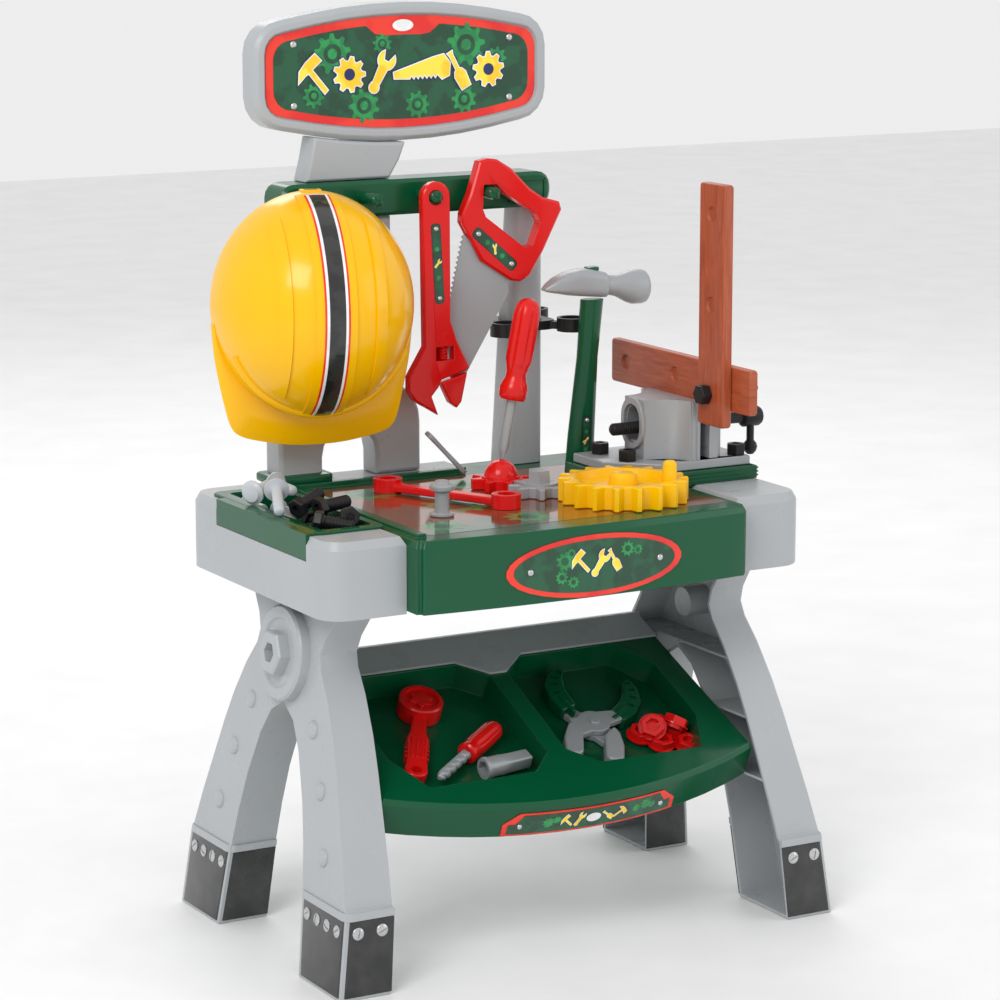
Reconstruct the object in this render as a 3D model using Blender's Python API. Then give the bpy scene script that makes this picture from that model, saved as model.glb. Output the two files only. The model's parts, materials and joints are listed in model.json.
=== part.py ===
"""Toy tool bench: a play workbench with legs, a shelf, a peg rail, a sign, a vise, gears and loose tools.

Lengths are in millimetres until a shape becomes an object. X runs to the right, Y to the back and Z up.
"""

from math import atan2, cos, pi, radians, sin, sqrt

import bmesh
import bpy
from mathutils import Matrix, Vector

MM = 0.001
# The bench is drawn about the middle of its legs. The vise handle sticks out on the right and the
# tool rack at the back, so everything is shifted to bring the middle of the outline to the origin.
BENCH_SHIFT = (-9.5, -13.15, 0.0)
GAP = 0.3
WALL = 3.0

# Legs
FOOT_X = 240.0
FOOT_LEAN = 0.128
INNER_X = 194.0
INNER_LEAN = 0.083
LEG_TOP = 343.0
HUB_Z = 253.0

# Table
DECK = 366.5
TABLE_BOTTOM = 306.0
TABLE_BACK = 150.0
DECK_HALF = 158.2
FRONT_CORNER_Y = -139.0
FRONT_HALF = 154.0
FRONT_RADIUS = 1486.0
CAP_IN = 158.5
CAP_OUT = 230.0
CAP_FRONT = -118.0
CAP_TOP = 368.0
TRAY = (-211.0, -165.0, -72.0, 106.0)
TRAY_FLOOR = 352.0
TRAY_SKIRT = (-80.0, 90.0, 348.0)

# Shelf, drawn in its own tilted plane: u to the right, v up the slope, n square to it
SHELF_TILT = radians(24)
SHELF_Y = -115.0
SHELF_Z = 150.0
SHELF_DEPTH = 175.0
SHELF_DROP = 33.0
SHELF_BOW = 36.0
BAY_DEPTH = 22.0

# Back frame
FRAME_FRONT = 118.0
FRAME_BACK = 148.0
RAIL_BOTTOM = 598.0
RAIL_TOP = 629.0
PEG_Z = 615.0
PEG_X = (-134.0, -77.0, -20.0, 37.0)
PEG_R = 5.5
PEG_TIP = 85.0
SIGN_X = -31.0
SIGN_Z = 720.5
SIGN_HALF = (142.5, 59.5)

# Gears
TEETH = (18, 8, 8)
GEAR_AT = ((75.0, -70.0), (24.3, -15.6), (11.6, 28.6))
GEAR_ROOT = (47.0, 18.6, 18.6)
GEAR_TIP = (55.3, 26.6, 26.6)
GEAR_TOP = (387.0, 376.5, 376.5)
PIN_R = 4.0

# Vise and planks
VISE_SCREW_Z = 414.0
VISE_BASE = (380.0, 388.0)
JAW_HALF = 41.0
JAW_TOP = 440.0
JAW_FACE = 171.0
GRIP = 9.4
PLANK_PIVOT = (-64.0, 450.0)

# Tools
SCREWDRIVER_LEAN = radians(11.5)
SCREWDRIVER_TIP = (13.0, 30.0, 392.5)
HELMET_AT = (-138.0, 92.0, 530.5)
HELMET_TURN = radians(13.5)
HELMET_HALF = (87.0, 96.0)
HELMET_DEPTH = 100.0
HELMET_WALL = 3.0
WRENCH_Y = (86.0, 95.5)
SAW_Y = (92.0, 104.0)
SAW_BLADE_Y = (97.0, 99.0)
HAMMER_Y = 62.0
PLIERS_AT = (62.0, 71.0, radians(-27.4))
PLIERS_TALL = 12.4
PLIERS_LAYER = {-1: (6.3, 11.8), 1: (0.4, 5.9)}


def material(name, colour, roughness, metallic=0.0):
    made = bpy.data.materials.new(name)
    made.use_nodes = True
    shader = made.node_tree.nodes["Principled BSDF"]
    shader.inputs["Base Color"].default_value = (*colour, 1.0)
    shader.inputs["Roughness"].default_value = roughness
    shader.inputs["Metallic"].default_value = metallic
    return made


def palette():
    return {
        "grey_plastic": material("grey_plastic", (0.46, 0.49, 0.50), 0.35),
        "green_plastic": material("green_plastic", (0.010, 0.130, 0.060), 0.25),
        "red_plastic": material("red_plastic", (0.70, 0.015, 0.012), 0.3),
        "yellow_plastic": material("yellow_plastic", (0.90, 0.47, 0.010), 0.25),
        "black_plastic": material("black_plastic", (0.012, 0.012, 0.012), 0.4),
        "brown_plastic": material("brown_plastic", (0.42, 0.105, 0.035), 0.55),
        "silver_plastic": material("silver_plastic", (0.50, 0.52, 0.53), 0.35, 0.2),
        "sticker": material("sticker", (0.010, 0.130, 0.060), 0.3),
    }


# Outlines: lists of (x, y) points, anticlockwise


def arc(centre, radius, start, end, steps):
    """Points along an arc or an ellipse's arc, angles in degrees."""
    rx, ry = radius if isinstance(radius, tuple) else (radius, radius)
    turns = [radians(start + (end - start) * i / steps) for i in range(steps + 1)]
    return [(centre[0] + rx * cos(t), centre[1] + ry * sin(t)) for t in turns]


def circle(centre, radius, sides=16):
    return arc(centre, radius, 0, 360 - 360 / sides, sides - 1)


def rectangle(x0, x1, y0, y1, corner=0.0, steps=3):
    if corner <= 0:
        return [(x0, y0), (x1, y0), (x1, y1), (x0, y1)]
    near_x, far_x, near_y, far_y = x0 + corner, x1 - corner, y0 + corner, y1 - corner
    return (
        arc((near_x, near_y), corner, 180, 270, steps)
        + arc((far_x, near_y), corner, 270, 360, steps)
        + arc((far_x, far_y), corner, 0, 90, steps)
        + arc((near_x, far_y), corner, 90, 180, steps)
    )


def inset(outline, depth):
    """The outline moved inwards, or outwards when depth is negative."""
    count = len(outline)
    area = sum(
        outline[i - 1][0] * outline[i][1] - outline[i][0] * outline[i - 1][1] for i in range(count)
    )
    side = 1 if area > 0 else -1
    moved = []
    for i in range(count):
        before = Vector(outline[i]) - Vector(outline[i - 1])
        after = Vector(outline[(i + 1) % count]) - Vector(outline[i])
        before.normalize()
        after.normalize()
        normal = Vector((-before.y - after.y, before.x + after.x)) * side
        normal.normalize()
        straight = Vector((-before.y, before.x)) * side
        moved.append(tuple(Vector(outline[i]) + normal * depth / max(normal.dot(straight), 0.4)))
    return moved


def gear_outline(teeth, root, tip, first):
    """Rounded teeth, the first of them pointing at the angle first."""
    pitch = 2 * pi / teeth
    middle = (root + tip) / 2
    flank = ((root, -0.31), (middle, -0.19), (tip, -0.10), (tip, 0.10), (middle, 0.19), (root, 0.31))
    points = []
    for tooth in range(teeth):
        for radius, share in flank:
            angle = first + (tooth + share) * pitch
            points.append((radius * cos(angle), radius * sin(angle)))
    return points


# Solids: each is a bmesh in millimetres


def loft(rings):
    """One closed solid through rings of points of equal count, capped at both ends."""
    solid = bmesh.new()
    rows = [[solid.verts.new(point) for point in ring] for ring in rings]
    count = len(rows[0])
    for low, high in zip(rows, rows[1:]):
        for i in range(count):
            j = (i + 1) % count
            solid.faces.new((low[i], low[j], high[j], high[i]))
    solid.faces.new(reversed(rows[0]))
    solid.faces.new(rows[-1])
    return facing_out(solid)


def levels(outline, heights):
    """A solid from one outline: heights are (z, inset) pairs."""
    return loft([[(x, y, z) for x, y in inset(outline, d)] for z, d in heights])


def prism(outline, low, high, chamfer=0.0):
    if chamfer <= 0:
        return levels(outline, ((low, 0), (high, 0)))
    return levels(
        outline, ((low, chamfer), (low + chamfer, 0), (high - chamfer, 0), (high, chamfer))
    )


def box(x0, x1, y0, y1, z0, z1, chamfer=0.0):
    return prism(rectangle(x0, x1, y0, y1), z0, z1, chamfer)


def turned(profile, sides=20):
    """A round solid about Z from (radius, z) points, first and last of them off the axis."""
    rings = []
    for radius, z in profile:
        rings.append([(x, y, z) for x, y in circle((0, 0), radius, sides)])
    return loft(rings)


def standing(outline, front, back, chamfer=0.0):
    """An outline drawn in X and Z, thick from front to back in Y."""
    solid = prism(outline, -back, -front, chamfer)
    return moved(solid, Matrix.Rotation(pi / 2, 4, "X"))


def facing_out(solid):
    bmesh.ops.recalc_face_normals(solid, faces=solid.faces)
    if solid.calc_volume(signed=True) < 0:
        bmesh.ops.reverse_faces(solid, faces=solid.faces)
    return solid


def moved(solid, matrix):
    solid.transform(matrix)
    return facing_out(solid)


def at(x, y, z):
    return Matrix.Translation((x, y, z))


def along(start, direction, roll=0.0):
    """Puts local Z along a direction from a start point."""
    turn = Vector(direction).to_track_quat("Z", "Y").to_matrix().to_4x4()
    return Matrix.Translation(start) @ turn @ Matrix.Rotation(roll, 4, "Z")


def bent_plate(stations, face, thickness):
    """A thin plate over stations of (x, low, high), following face(x), its front y."""
    rings = []
    for x, low, high in stations:
        near = face(x)
        far = near + thickness
        rings.append([(x, near, low), (x, near, high), (x, far, high), (x, far, low)])
    return loft(rings)


# Objects


def mesh_object(name, solid, origin=(0.0, 0.0, 0.0)):
    """Turns a solid into an object in metres, with its origin at a point of the bench."""
    solid.transform(Matrix.Scale(MM, 4) @ Matrix.Translation(-Vector(origin)))
    mesh = bpy.data.meshes.new(name)
    solid.to_mesh(mesh)
    solid.free()
    made = bpy.data.objects.new(name, mesh)
    made.location = (Vector(origin) + Vector(BENCH_SHIFT)) * MM
    bpy.context.scene.collection.objects.link(made)
    return made


def joined(*shapes):
    return [("UNION", shape) for shape in shapes]


def cut(*shapes):
    return [("DIFFERENCE", shape) for shape in shapes]


def node(name, solid, colour, origin=(0.0, 0.0, 0.0), steps=()):
    """One named object; steps are the shapes joined to it or cut from it, in order."""
    made = mesh_object(name, solid, origin)
    made.data.materials.append(COLOURS[colour])
    made.data.shade_smooth()
    made.data.set_sharp_from_angle(angle=radians(32))
    for number, (operation, shape) in enumerate(steps):
        helper = mesh_object(f"{name}_step_{number}", shape)
        helper.hide_render = True
        helper.display_type = "WIRE"
        change = made.modifiers.new(helper.name, "BOOLEAN")
        change.operation = operation
        change.solver = "EXACT"
        change.object = helper


# The bench


def leg_outline():
    """Front to back view of one side: two curved legs that cross at the hub."""
    half = [(78, 0), (154, 0), (149.5, 65), (148.8, 69.5), (145.5, 72), (134, 105), (120, 140)]
    half += [(107, 172), (94, 200), (76, 230), (60, 250), (56, 262), (62, 276), (75, 292), (86, 306)]
    half += [(92, 325), (93, LEG_TOP)]
    inner = [(0, 212), (20, 201), (36, 178), (52, 140), (62, 105), (69, 71)]
    return inner + half + [(-y, z) for y, z in reversed(half)] + [(-y, z) for y, z in reversed(inner[1:])]


def leg_panel(name, side):
    outline = leg_outline()
    skin = inset(outline, WALL)

    def outer(points, depth=0.0):
        return [(side * (FOOT_X - FOOT_LEAN * z - depth), y, z) for y, z in points]

    def inner(points):
        return [(side * (INNER_X - INNER_LEAN * z), y, z) for y, z in points]

    shell = loft([outer(outline), inner(outline), inner(skin), outer(skin, WALL)])
    face = side * (FOOT_X - FOOT_LEAN * HUB_Z)
    square_out = (side, 0, FOOT_LEAN)
    hub = turned([(40.5, -2), (40.5, 8), (38.5, 10), (30, 10), (28, 8), (20, 8)], 28)
    nut = turned([(20, 6), (20, 17), (18.5, 18.5), (9, 18.5), (9, 9)], 6)
    place = along((face, 0, HUB_Z), square_out)
    node(name, shell, "grey_plastic", steps=joined(moved(hub, place), moved(nut, place)))


def front_face(x):
    """Front of the worktop, bowed forward at the middle."""
    drop = sqrt(FRONT_RADIUS**2 - FRONT_HALF**2)
    return FRONT_CORNER_Y + drop - sqrt(FRONT_RADIUS**2 - x**2)


def worktop_outline():
    spans = 14
    front = [-FRONT_HALF + 2 * FRONT_HALF * i / spans for i in range(spans + 1)]
    points = [(x, front_face(x)) for x in front]
    points += [(FRONT_HALF, -134), (DECK_HALF, -134), (DECK_HALF, TABLE_BACK)]
    return points + [(-DECK_HALF, TABLE_BACK), (-DECK_HALF, -134), (-FRONT_HALF, -134)]


def worktop():
    outline = worktop_outline()
    shell = loft(
        [
            [(x, y, DECK - WALL) for x, y in inset(outline, WALL)],
            [(x, y, TABLE_BOTTOM) for x, y in inset(outline, WALL)],
            [(x, y, TABLE_BOTTOM) for x, y in outline],
            [(x, y, DECK - 6) for x, y in outline],
            [(x, y, DECK) for x, y in inset(outline, 2.6)],
        ]
    )
    raised = [
        box(-152, -143, -124, 100, DECK - 1, 370),
        prism([(-152, 104), (16, 104), (22, 109), (22, 111.5), (-152, 111.5)], DECK - 1, 371.5),
    ]
    for x, y in GEAR_AT:
        raised.append(moved(turned([(PIN_R, DECK - 1), (PIN_R, 379)], 16), at(x, y, 0)))
    node("worktop", shell, "green_plastic", steps=joined(*raised))


def end_cap(name, side):
    """A hollow grey end of the table, open below and at the top, with two bars that sit on the leg."""
    x0, x1 = sorted((side * CAP_IN, side * CAP_OUT))
    square = rectangle(x0, x1, CAP_FRONT, TABLE_BACK)
    if side > 0:
        outline = [square[0]] + arc((x1 - 22, CAP_FRONT + 22), 22, 270, 360, 5)
        outline += arc((x1 - 22, TABLE_BACK - 22), 22, 0, 90, 5) + [square[3]]
    else:
        outline = arc((x0 + 22, CAP_FRONT + 22), 22, 180, 270, 5) + [square[1], square[2]]
        outline += arc((x0 + 22, TABLE_BACK - 22), 22, 90, 180, 5)
    shell = loft(
        [
            [(x, y, CAP_TOP - WALL) for x, y in inset(outline, WALL)],
            [(x, y, 304) for x, y in inset(outline, WALL)],
            [(x, y, 304) for x, y in outline],
            [(x, y, CAP_TOP - 7) for x, y in outline],
            [(x, y, CAP_TOP) for x, y in inset(outline, 4)],
        ]
    )
    bars = [
        box(x0 + 1.5, x1 - 1.5, y - 2, y + 2, LEG_TOP + GAP, LEG_TOP + 4.5)
        for y in (-60, 60)
    ]
    steps = joined(*bars)
    if side < 0:
        x0, x1, y0, y1 = TRAY
        hole = rectangle(x0 - 2.5, x1 + 2.5, y0 - 2.5, y1 + 2.5, 6)
        y0, y1, bottom = TRAY_SKIRT
        notch = box(-231, -226.4, y0 - 0.5, y1 + 0.5, bottom - GAP, CAP_TOP + 2)
        steps += cut(prism(hole, CAP_TOP - 8, CAP_TOP + 2), notch)
    node(name, shell, "grey_plastic", steps=steps)


def parts_tray():
    """The green tray in the left end, with a lip on the cap's top and a skirt down its outer side."""
    x0, x1, y0, y1 = TRAY
    inner = rectangle(x0, x1, y0, y1, 5)
    skin = inset(inner, -2)
    lip = rectangle(-222, -157, y0 - 9, y1 + 12, 8)
    floor = TRAY_FLOOR
    rings = [
        [(x, y, floor - 2) for x, y in skin],
        [(x, y, CAP_TOP + GAP) for x, y in skin],
        [(x, y, CAP_TOP + GAP) for x, y in lip],
        [(x, y, CAP_TOP + 1.6) for x, y in lip],
        [(x, y, CAP_TOP + 2.6) for x, y in inset(lip, 1)],
        [(x, y, CAP_TOP + 2.6) for x, y in inner],
        [(x, y, floor) for x, y in inset(inner, 1.5)],
    ]
    y0, y1, bottom = TRAY_SKIRT
    skirt = box(-229.8, -227, y0, y1, bottom, CAP_TOP + 2.2)
    strip = box(-229.8, -220, y0, y1, CAP_TOP + GAP, CAP_TOP + 2.2)
    node("parts_tray", loft(rings), "green_plastic", steps=joined(strip, skirt))


def shelf_frame():
    axes = Matrix(((1, 0, 0), (0, cos(SHELF_TILT), -sin(SHELF_TILT)), (0, sin(SHELF_TILT), cos(SHELF_TILT))))
    return Matrix.Translation((0, SHELF_Y, SHELF_Z)) @ axes.to_4x4()


def shelf_front(u):
    half = 181.0
    radius = (half**2 + SHELF_BOW**2) / (2 * SHELF_BOW)
    return sqrt(radius**2 - half**2) - sqrt(radius**2 - u**2)


def bay_outline(side):
    points = [(9, 30), (32, 7), (132, 7), (151, 50), (151, 125), (128, 159), (32, 159), (9, 138)]
    return points if side > 0 else [(-u, v) for u, v in reversed(points)]


def shelf():
    spans = 14
    front = [-181 + 362 * i / spans for i in range(spans + 1)]
    outline = [(u, shelf_front(u)) for u in front] + [(175, SHELF_DEPTH), (-175, SHELF_DEPTH)]
    body = levels(outline, ((-SHELF_DROP, 0), (-4, 0), (0, 3)))
    under = levels(inset(outline, WALL), ((-SHELF_DROP - 1, 0), (-BAY_DEPTH - WALL, 0)))
    bays = [levels(bay_outline(side), ((-BAY_DEPTH, 3), (1, 0))) for side in (-1, 1)]
    place = shelf_frame()
    node(
        "shelf_tray",
        moved(body, place),
        "green_plastic",
        steps=cut(*[moved(shape, place) for shape in [under, *bays]]),
    )
    label = []
    for i in range(13):
        share = i / 12
        u = -79 + 168 * share
        top = -9 if 0.06 < share < 0.94 else -20
        label.append((u, -31.5, top))
    plate = bent_plate(label, lambda u: shelf_front(u) - 0.9, 0.6)
    node("shelf_label", moved(plate, place), "sticker")


def rear_brace():
    """A grey cross bar behind the shelf, with a flap that lies on the shelf's rear rim and divider."""
    outline = [(-174.5, 200), (-30, 200), (-16, 192), (16, 192), (30, 200), (174.5, 200)]
    outline += [(174.5, 232), (-174.5, 232)]
    flap = [(-172, 160.5), (-33, 160.5), (-8, 139.5), (8, 139.5), (33, 160.5), (172, 160.5)]
    flap += [(172, 196), (-172, 196)]
    flap = moved(prism(flap, GAP, 2.5), shelf_frame())
    node("rear_brace", standing(outline, 60, 68, 1.5), "grey_plastic", steps=joined(flap))


def back_frame():
    leg = arc((-46, 415), (28, 34), 0, 82, 5) + [(-46, 452), (-46, 597.7), (-127, 597.7), (-127, 452)]
    leg += arc((-127, 415), (29, 34), 98, 180, 5) + [(-156, 370.7), (-114, 370.7)]
    leg += arc((-88, 390), 26, 180, 0, 8) + [(-62, 370.7), (-18, 370.7)]
    node("left_upright", standing(leg, FRAME_FRONT, FRAME_BACK, 3), "grey_plastic")
    rings = []
    for z, left, right in ((DECK + GAP, 65, 107), (480, 72, 107), (RAIL_BOTTOM - GAP, 79, 107)):
        rings.append([(x, y, z) for x, y in rectangle(left, right, FRAME_FRONT, FRAME_BACK, 9, 4)])
    node("right_upright", loft(rings), "grey_plastic")
    ledge = [(-156, 112), (22, 112), (22, 149), (-156, 149)]
    node("rear_ledge", prism(ledge, DECK + GAP, 370.4, 0.8), "grey_plastic")
    rail = rectangle(-155, 110, RAIL_BOTTOM, RAIL_TOP, 13, 4)
    pegs = []
    for x in PEG_X:
        peg = turned([(PEG_R - 1, 0), (PEG_R, 1), (PEG_R, 114 - PEG_TIP)], 14)
        pegs.append(moved(peg, along((x, PEG_TIP, PEG_Z), (0, 1, 0))))
    node("peg_rail", standing(rail, 112, FRAME_BACK, 3), "green_plastic", steps=joined(*pegs))


def sign_outline():
    half_x, half_z = SIGN_HALF
    bow, corner = 20.0, 28.0

    def edge(x):
        return half_z - bow * (x / half_x) ** 2

    reach = half_x - corner
    top = [(reach * (1 - i / 4), edge(reach * (1 - i / 4))) for i in range(5)]
    round_corner = arc((reach, edge(reach) - corner), corner, 0, 84, 4)
    quarter = round_corner + top[1:]
    upper = quarter + [(-x, z) for x, z in reversed(quarter[:-1])]
    outline = upper + [(-x, -z) for x, z in upper]
    return [(SIGN_X + x, SIGN_Z + z) for x, z in outline]


def sign():
    outline = sign_outline()
    opening = inset(outline, 11)

    def ring(points, y):
        return [(x, y, z) for x, z in points]

    frame = loft(
        [
            ring(inset(outline, 4), 150),
            ring(outline, 146),
            ring(outline, 126),
            ring(inset(outline, 4), 122),
            ring(inset(outline, 9.5), 122),
            ring(opening, 125.6),
        ]
    )
    node("sign_frame", frame, "grey_plastic")
    node("sign_label", standing(inset(opening, 0.6), 124.6, 125.3), "sticker")
    low = SIGN_Z - SIGN_HALF[1]
    neck = [(-127, RAIL_TOP + GAP), (-46, RAIL_TOP + GAP), (-36, 645)]
    for x in (-30, -60, -90, -118):
        neck.append((x, low + 20 * ((x - SIGN_X) / SIGN_HALF[0]) ** 2 - 1.0))
    neck.append((-122, 648))
    node("sign_bracket", standing(neck, 121, 147, 2), "grey_plastic")


def front_label():
    stations = []
    for i in range(15):
        turn = radians(175 - 170 * i / 14)
        stations.append((2 + 84 * cos(turn), 333 - 26 * sin(turn), 333 + 26 * sin(turn)))
    plate = bent_plate(stations, lambda x: front_face(x) - 0.9, 0.6)
    node("front_label", plate, "sticker")


def tool_rack():
    """A collar on the right upright with four rings for standing tools."""
    centres = [(90 + 34 * sx, 133 + 34 * sy) for sx in (-1, 1) for sy in (-1, 1)]
    plate = prism(rectangle(64, 116, 108, 158, 12), 488, 496)
    rings = [moved(turned([(13.5, 487), (13.5, 499)], 18), at(x, y, 0)) for x, y in centres]
    for angle in (pi / 4, -pi / 4):
        arm = box(-45, 45, -5, 5, 488.5, 495)
        rings.append(moved(arm, at(90, 133, 0) @ Matrix.Rotation(angle, 4, "Z")))
    holes = [moved(turned([(10.5, 485), (10.5, 501)], 18), at(x, y, 0)) for x, y in centres]
    post = prism(rectangle(72.4, 107.6, FRAME_FRONT - 0.6, FRAME_BACK + 0.6, 9, 4), 485, 501)
    node("tool_rack", plate, "black_plastic", steps=joined(*rings) + cut(post, *holes))


# Gears


def gears():
    yellow, grey, red = (Vector(place) for place in GEAR_AT)
    to_grey = atan2(*(grey - yellow).yx)
    to_red = atan2(*(red - grey).yx)
    half_pitch = pi / TEETH[1]
    grey_first = to_grey + pi + half_pitch
    red_first = to_red + pi - (grey_first - to_red) + half_pitch
    names = ("yellow_gear", "grey_gear", "red_gear")
    colours = ("yellow_plastic", "silver_plastic", "red_plastic")
    for i, first in enumerate((to_grey, grey_first, red_first)):
        x, y = GEAR_AT[i]
        teeth = gear_outline(TEETH[i], GEAR_ROOT[i], GEAR_TIP[i], first)
        body = prism(teeth, DECK + GAP, GEAR_TOP[i], 0.8)
        top = GEAR_TOP[i]
        bore = cut(turned([(PIN_R + 0.5, DECK - 1), (PIN_R + 0.5, 380)], 16))
        if i == 0:
            dish = turned([(39, top - 7), (41, top + 1)], 28)
            hub = turned([(13, top - 8), (12, top + 1.5), (8, 391)], 16)
            knob = turned([(6.5, top - 8), (6, top + 13), (4, top + 15.5)], 14)
            steps = cut(dish) + joined(hub, moved(knob, at(30, -26, 0))) + bore
        elif i == 1:
            collar = turned([(17, top - 1), (17, top + 2)], 20)
            steps = joined(collar, turned([(10.5, top + 1), (10, top + 12.5)], 6)) + bore
        else:
            dome = arc((0, top), (15, 15.5), 0, 80, 6)
            steps = joined(turned([(17, top - 1), (17, top + 1.5)], 20), turned(dome, 18)) + bore
        place = at(x, y, 0)
        node(
            names[i],
            moved(body, place),
            colours[i],
            origin=(x, y, DECK),
            steps=[(operation, moved(shape, place)) for operation, shape in steps],
        )


# Vise and planks


def vise():
    on_deck = prism([(88, -3), (133, -48), (157.8, -48), (157.8, 47), (88, 47)], DECK + GAP, 379.7)
    on_cap = box(150, 226, -48, 47, CAP_TOP + GAP, 379.7)
    node("vise_plinth", on_deck, "green_plastic", steps=joined(on_cap))
    plate = [(93, -5), (130, -42), (222, -42), (222, 43), (93, 43)]
    flare = [(129, -16), (140, -17), (150, -22), (157, -31), (161, -JAW_HALF)]
    jaw = flare + [(JAW_FACE, -JAW_HALF), (JAW_FACE, JAW_HALF)] + [(x, -y) for x, y in reversed(flare)]
    low, high = VISE_BASE
    bore = moved(turned([(6.3, -5), (6.3, 50)], 18), along((126, 0, VISE_SCREW_Z), (1, 0, 0)))
    cave = standing(arc((0, 418), (12.5, 16), 0, 180, 8) + [(-12.5, 403), (12.5, 403)], 0, 22)
    cave = moved(cave, Matrix.Translation((127, 0, 0)) @ Matrix.Rotation(pi / 2, 4, "Z"))
    cave = moved(cave, Matrix.Translation((22, 0, 0)))
    node(
        "vise_base",
        prism(plate, low, high, 0.8),
        "grey_plastic",
        steps=joined(prism(jaw, high - 1, JAW_TOP)) + cut(bore, cave),
    )
    for number, (x, y) in enumerate(((112, 29), (114, -13), (213, -33), (213, 34))):
        bolt = turned([(8.5, high + GAP), (8.5, high + 9), (7.5, high + 10)], 6)
        node(f"vise_bolt_{number + 1}", moved(bolt, at(x, y, 0)), "black_plastic")
    start = JAW_FACE + GRIP
    bore = moved(turned([(6.3, -2), (6.3, 40)], 18), along((start, 0, VISE_SCREW_Z), (1, 0, 0)))
    jaw = prism(rectangle(start, start + 9, -JAW_HALF, JAW_HALF), high + GAP, JAW_TOP, 0.6)
    ribs = [box(start + 8, start + 15, y - 1.5, y + 1.5, high + GAP, JAW_TOP - 4) for y in (-34, -12, 12, 34)]
    origin = (start, 0, VISE_SCREW_Z)
    node("vise_moving_jaw", jaw, "grey_plastic", origin, joined(*ribs) + cut(bore))
    shaft = turned([(4.3, 0), (5.5, 1.2), (5.5, 134), (9, 136), (9, 152), (7.5, 154)], 16)
    shaft = moved(shaft, along((105, 0, VISE_SCREW_Z), (1, 0, 0)))
    hole = box(246.2, 253.8, -3.8, 3.8, VISE_SCREW_Z - 20, VISE_SCREW_Z + 20)
    node("vise_screw", shaft, "black_plastic", (105, 0, VISE_SCREW_Z), cut(hole))
    low_ball = [(3, -34), (5.6, -31), (6.6, -27.5), (5.6, -24), (3.4, -21.5)]
    high_ball = [(3.4, 19.5), (5.6, 22), (6.6, 25.5), (5.6, 29), (3, 32)]
    bar = turned(low_ball + high_ball, 14)
    node("vise_bar", moved(bar, at(250, 0, VISE_SCREW_Z)), "black_plastic", origin=(250, 0, VISE_SCREW_Z))


def planks():
    """Two play planks bolted together, the long one gripped by the vise."""
    y, z = PLANK_PIVOT
    turn = Matrix(((0, 0, 1, 0), (1, 0, 0, 0), (0, 1, 0, 0), (0, 0, 0, 1)))
    x_front = JAW_FACE - 8.8
    upright = prism(rectangle(-89, -49, 423, 631, 3, 2), x_front, JAW_FACE + 0.3, 1)
    cross = prism(rectangle(-116, 109, 437, 476, 3, 2), JAW_FACE + 0.6, JAW_FACE + GRIP - 0.3, 1)
    bore = turned([(4.6, x_front - 5), (4.6, JAW_FACE + 20)], 14)
    cutters = [moved(bore, at(y, z, 0))]
    for height in (527.5, 604.5):
        cutters.append(moved(turned([(7.5, x_front - 1), (6, x_front + 2.2)], 16), at(-68, height, 0)))
    node(
        "plank_upright",
        moved(upright, turn),
        "brown_plastic",
        origin=(x_front, y, z),
        steps=cut(*[moved(shape, turn) for shape in cutters]),
    )
    front = JAW_FACE + 0.6
    cutters = [moved(turned([(4.6, front - 5), (4.6, front + 20)], 14), at(y, z, 0))]
    for across in (3, 84):
        cutters.append(moved(turned([(7.5, front - 1), (6, front + 2.2)], 16), at(across, 457, 0)))
    node(
        "plank_cross",
        moved(cross, turn),
        "brown_plastic",
        steps=cut(*[moved(shape, turn) for shape in cutters]),
    )
    seat = x_front - GAP
    bolt = turned([(8.5, x_front - 9), (9, x_front - 8), (9, seat), (4.2, seat), (4.2, 187)], 6)
    node("plank_bolt", moved(moved(bolt, at(y, z, 0)), turn), "black_plastic")


# Tools


def screwdriver():
    lean = (sin(SCREWDRIVER_LEAN), 0, cos(SCREWDRIVER_LEAN))
    place = along(SCREWDRIVER_TIP, lean)
    shaft = turned([(2.4, 0), (4.6, 8), (4.6, 51)], 12)
    grip = [(11, 51.5), (12.5, 54), (12.5, 62), (9.5, 68), (9, 76), (11.8, 84)]
    grip += [(12, 128), (10, 136), (5, 139.5)]
    tip = SCREWDRIVER_TIP
    node("screwdriver_shaft", moved(shaft, place), "silver_plastic", origin=tip)
    node("screwdriver_handle", moved(turned(grip, 18), place), "red_plastic", origin=tip)


def hammer():
    head = [(73, 531), (80, 527), (111, 522.5), (134, 520.7), (146, 521), (155, 516), (163, 512.4)]
    head += [(174, 513), (177.5, 519), (177.5, 535), (174, 542), (163, 543.3), (153, 540), (146, 538)]
    head += [(134, 543.4), (118, 547), (96, 546.5), (83, 541)]
    foot = (110, HAMMER_Y, 367)
    node("hammer_head", standing(head, HAMMER_Y - 11, HAMMER_Y + 11, 5), "silver_plastic", origin=foot)
    stations = ((DECK + GAP, 110, 14, 9), (400, 112, 13, 8.5), (470, 118, 10, 7.5), (520, 122.5, 11, 8))
    rings = []
    for z, x, half_x, half_y in stations:
        rings.append([(px, py, z) for px, py in arc((x, HAMMER_Y), (half_x, half_y), 0, 337.5, 15)])
    node("hammer_handle", loft(rings), "green_plastic", origin=foot)


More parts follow.
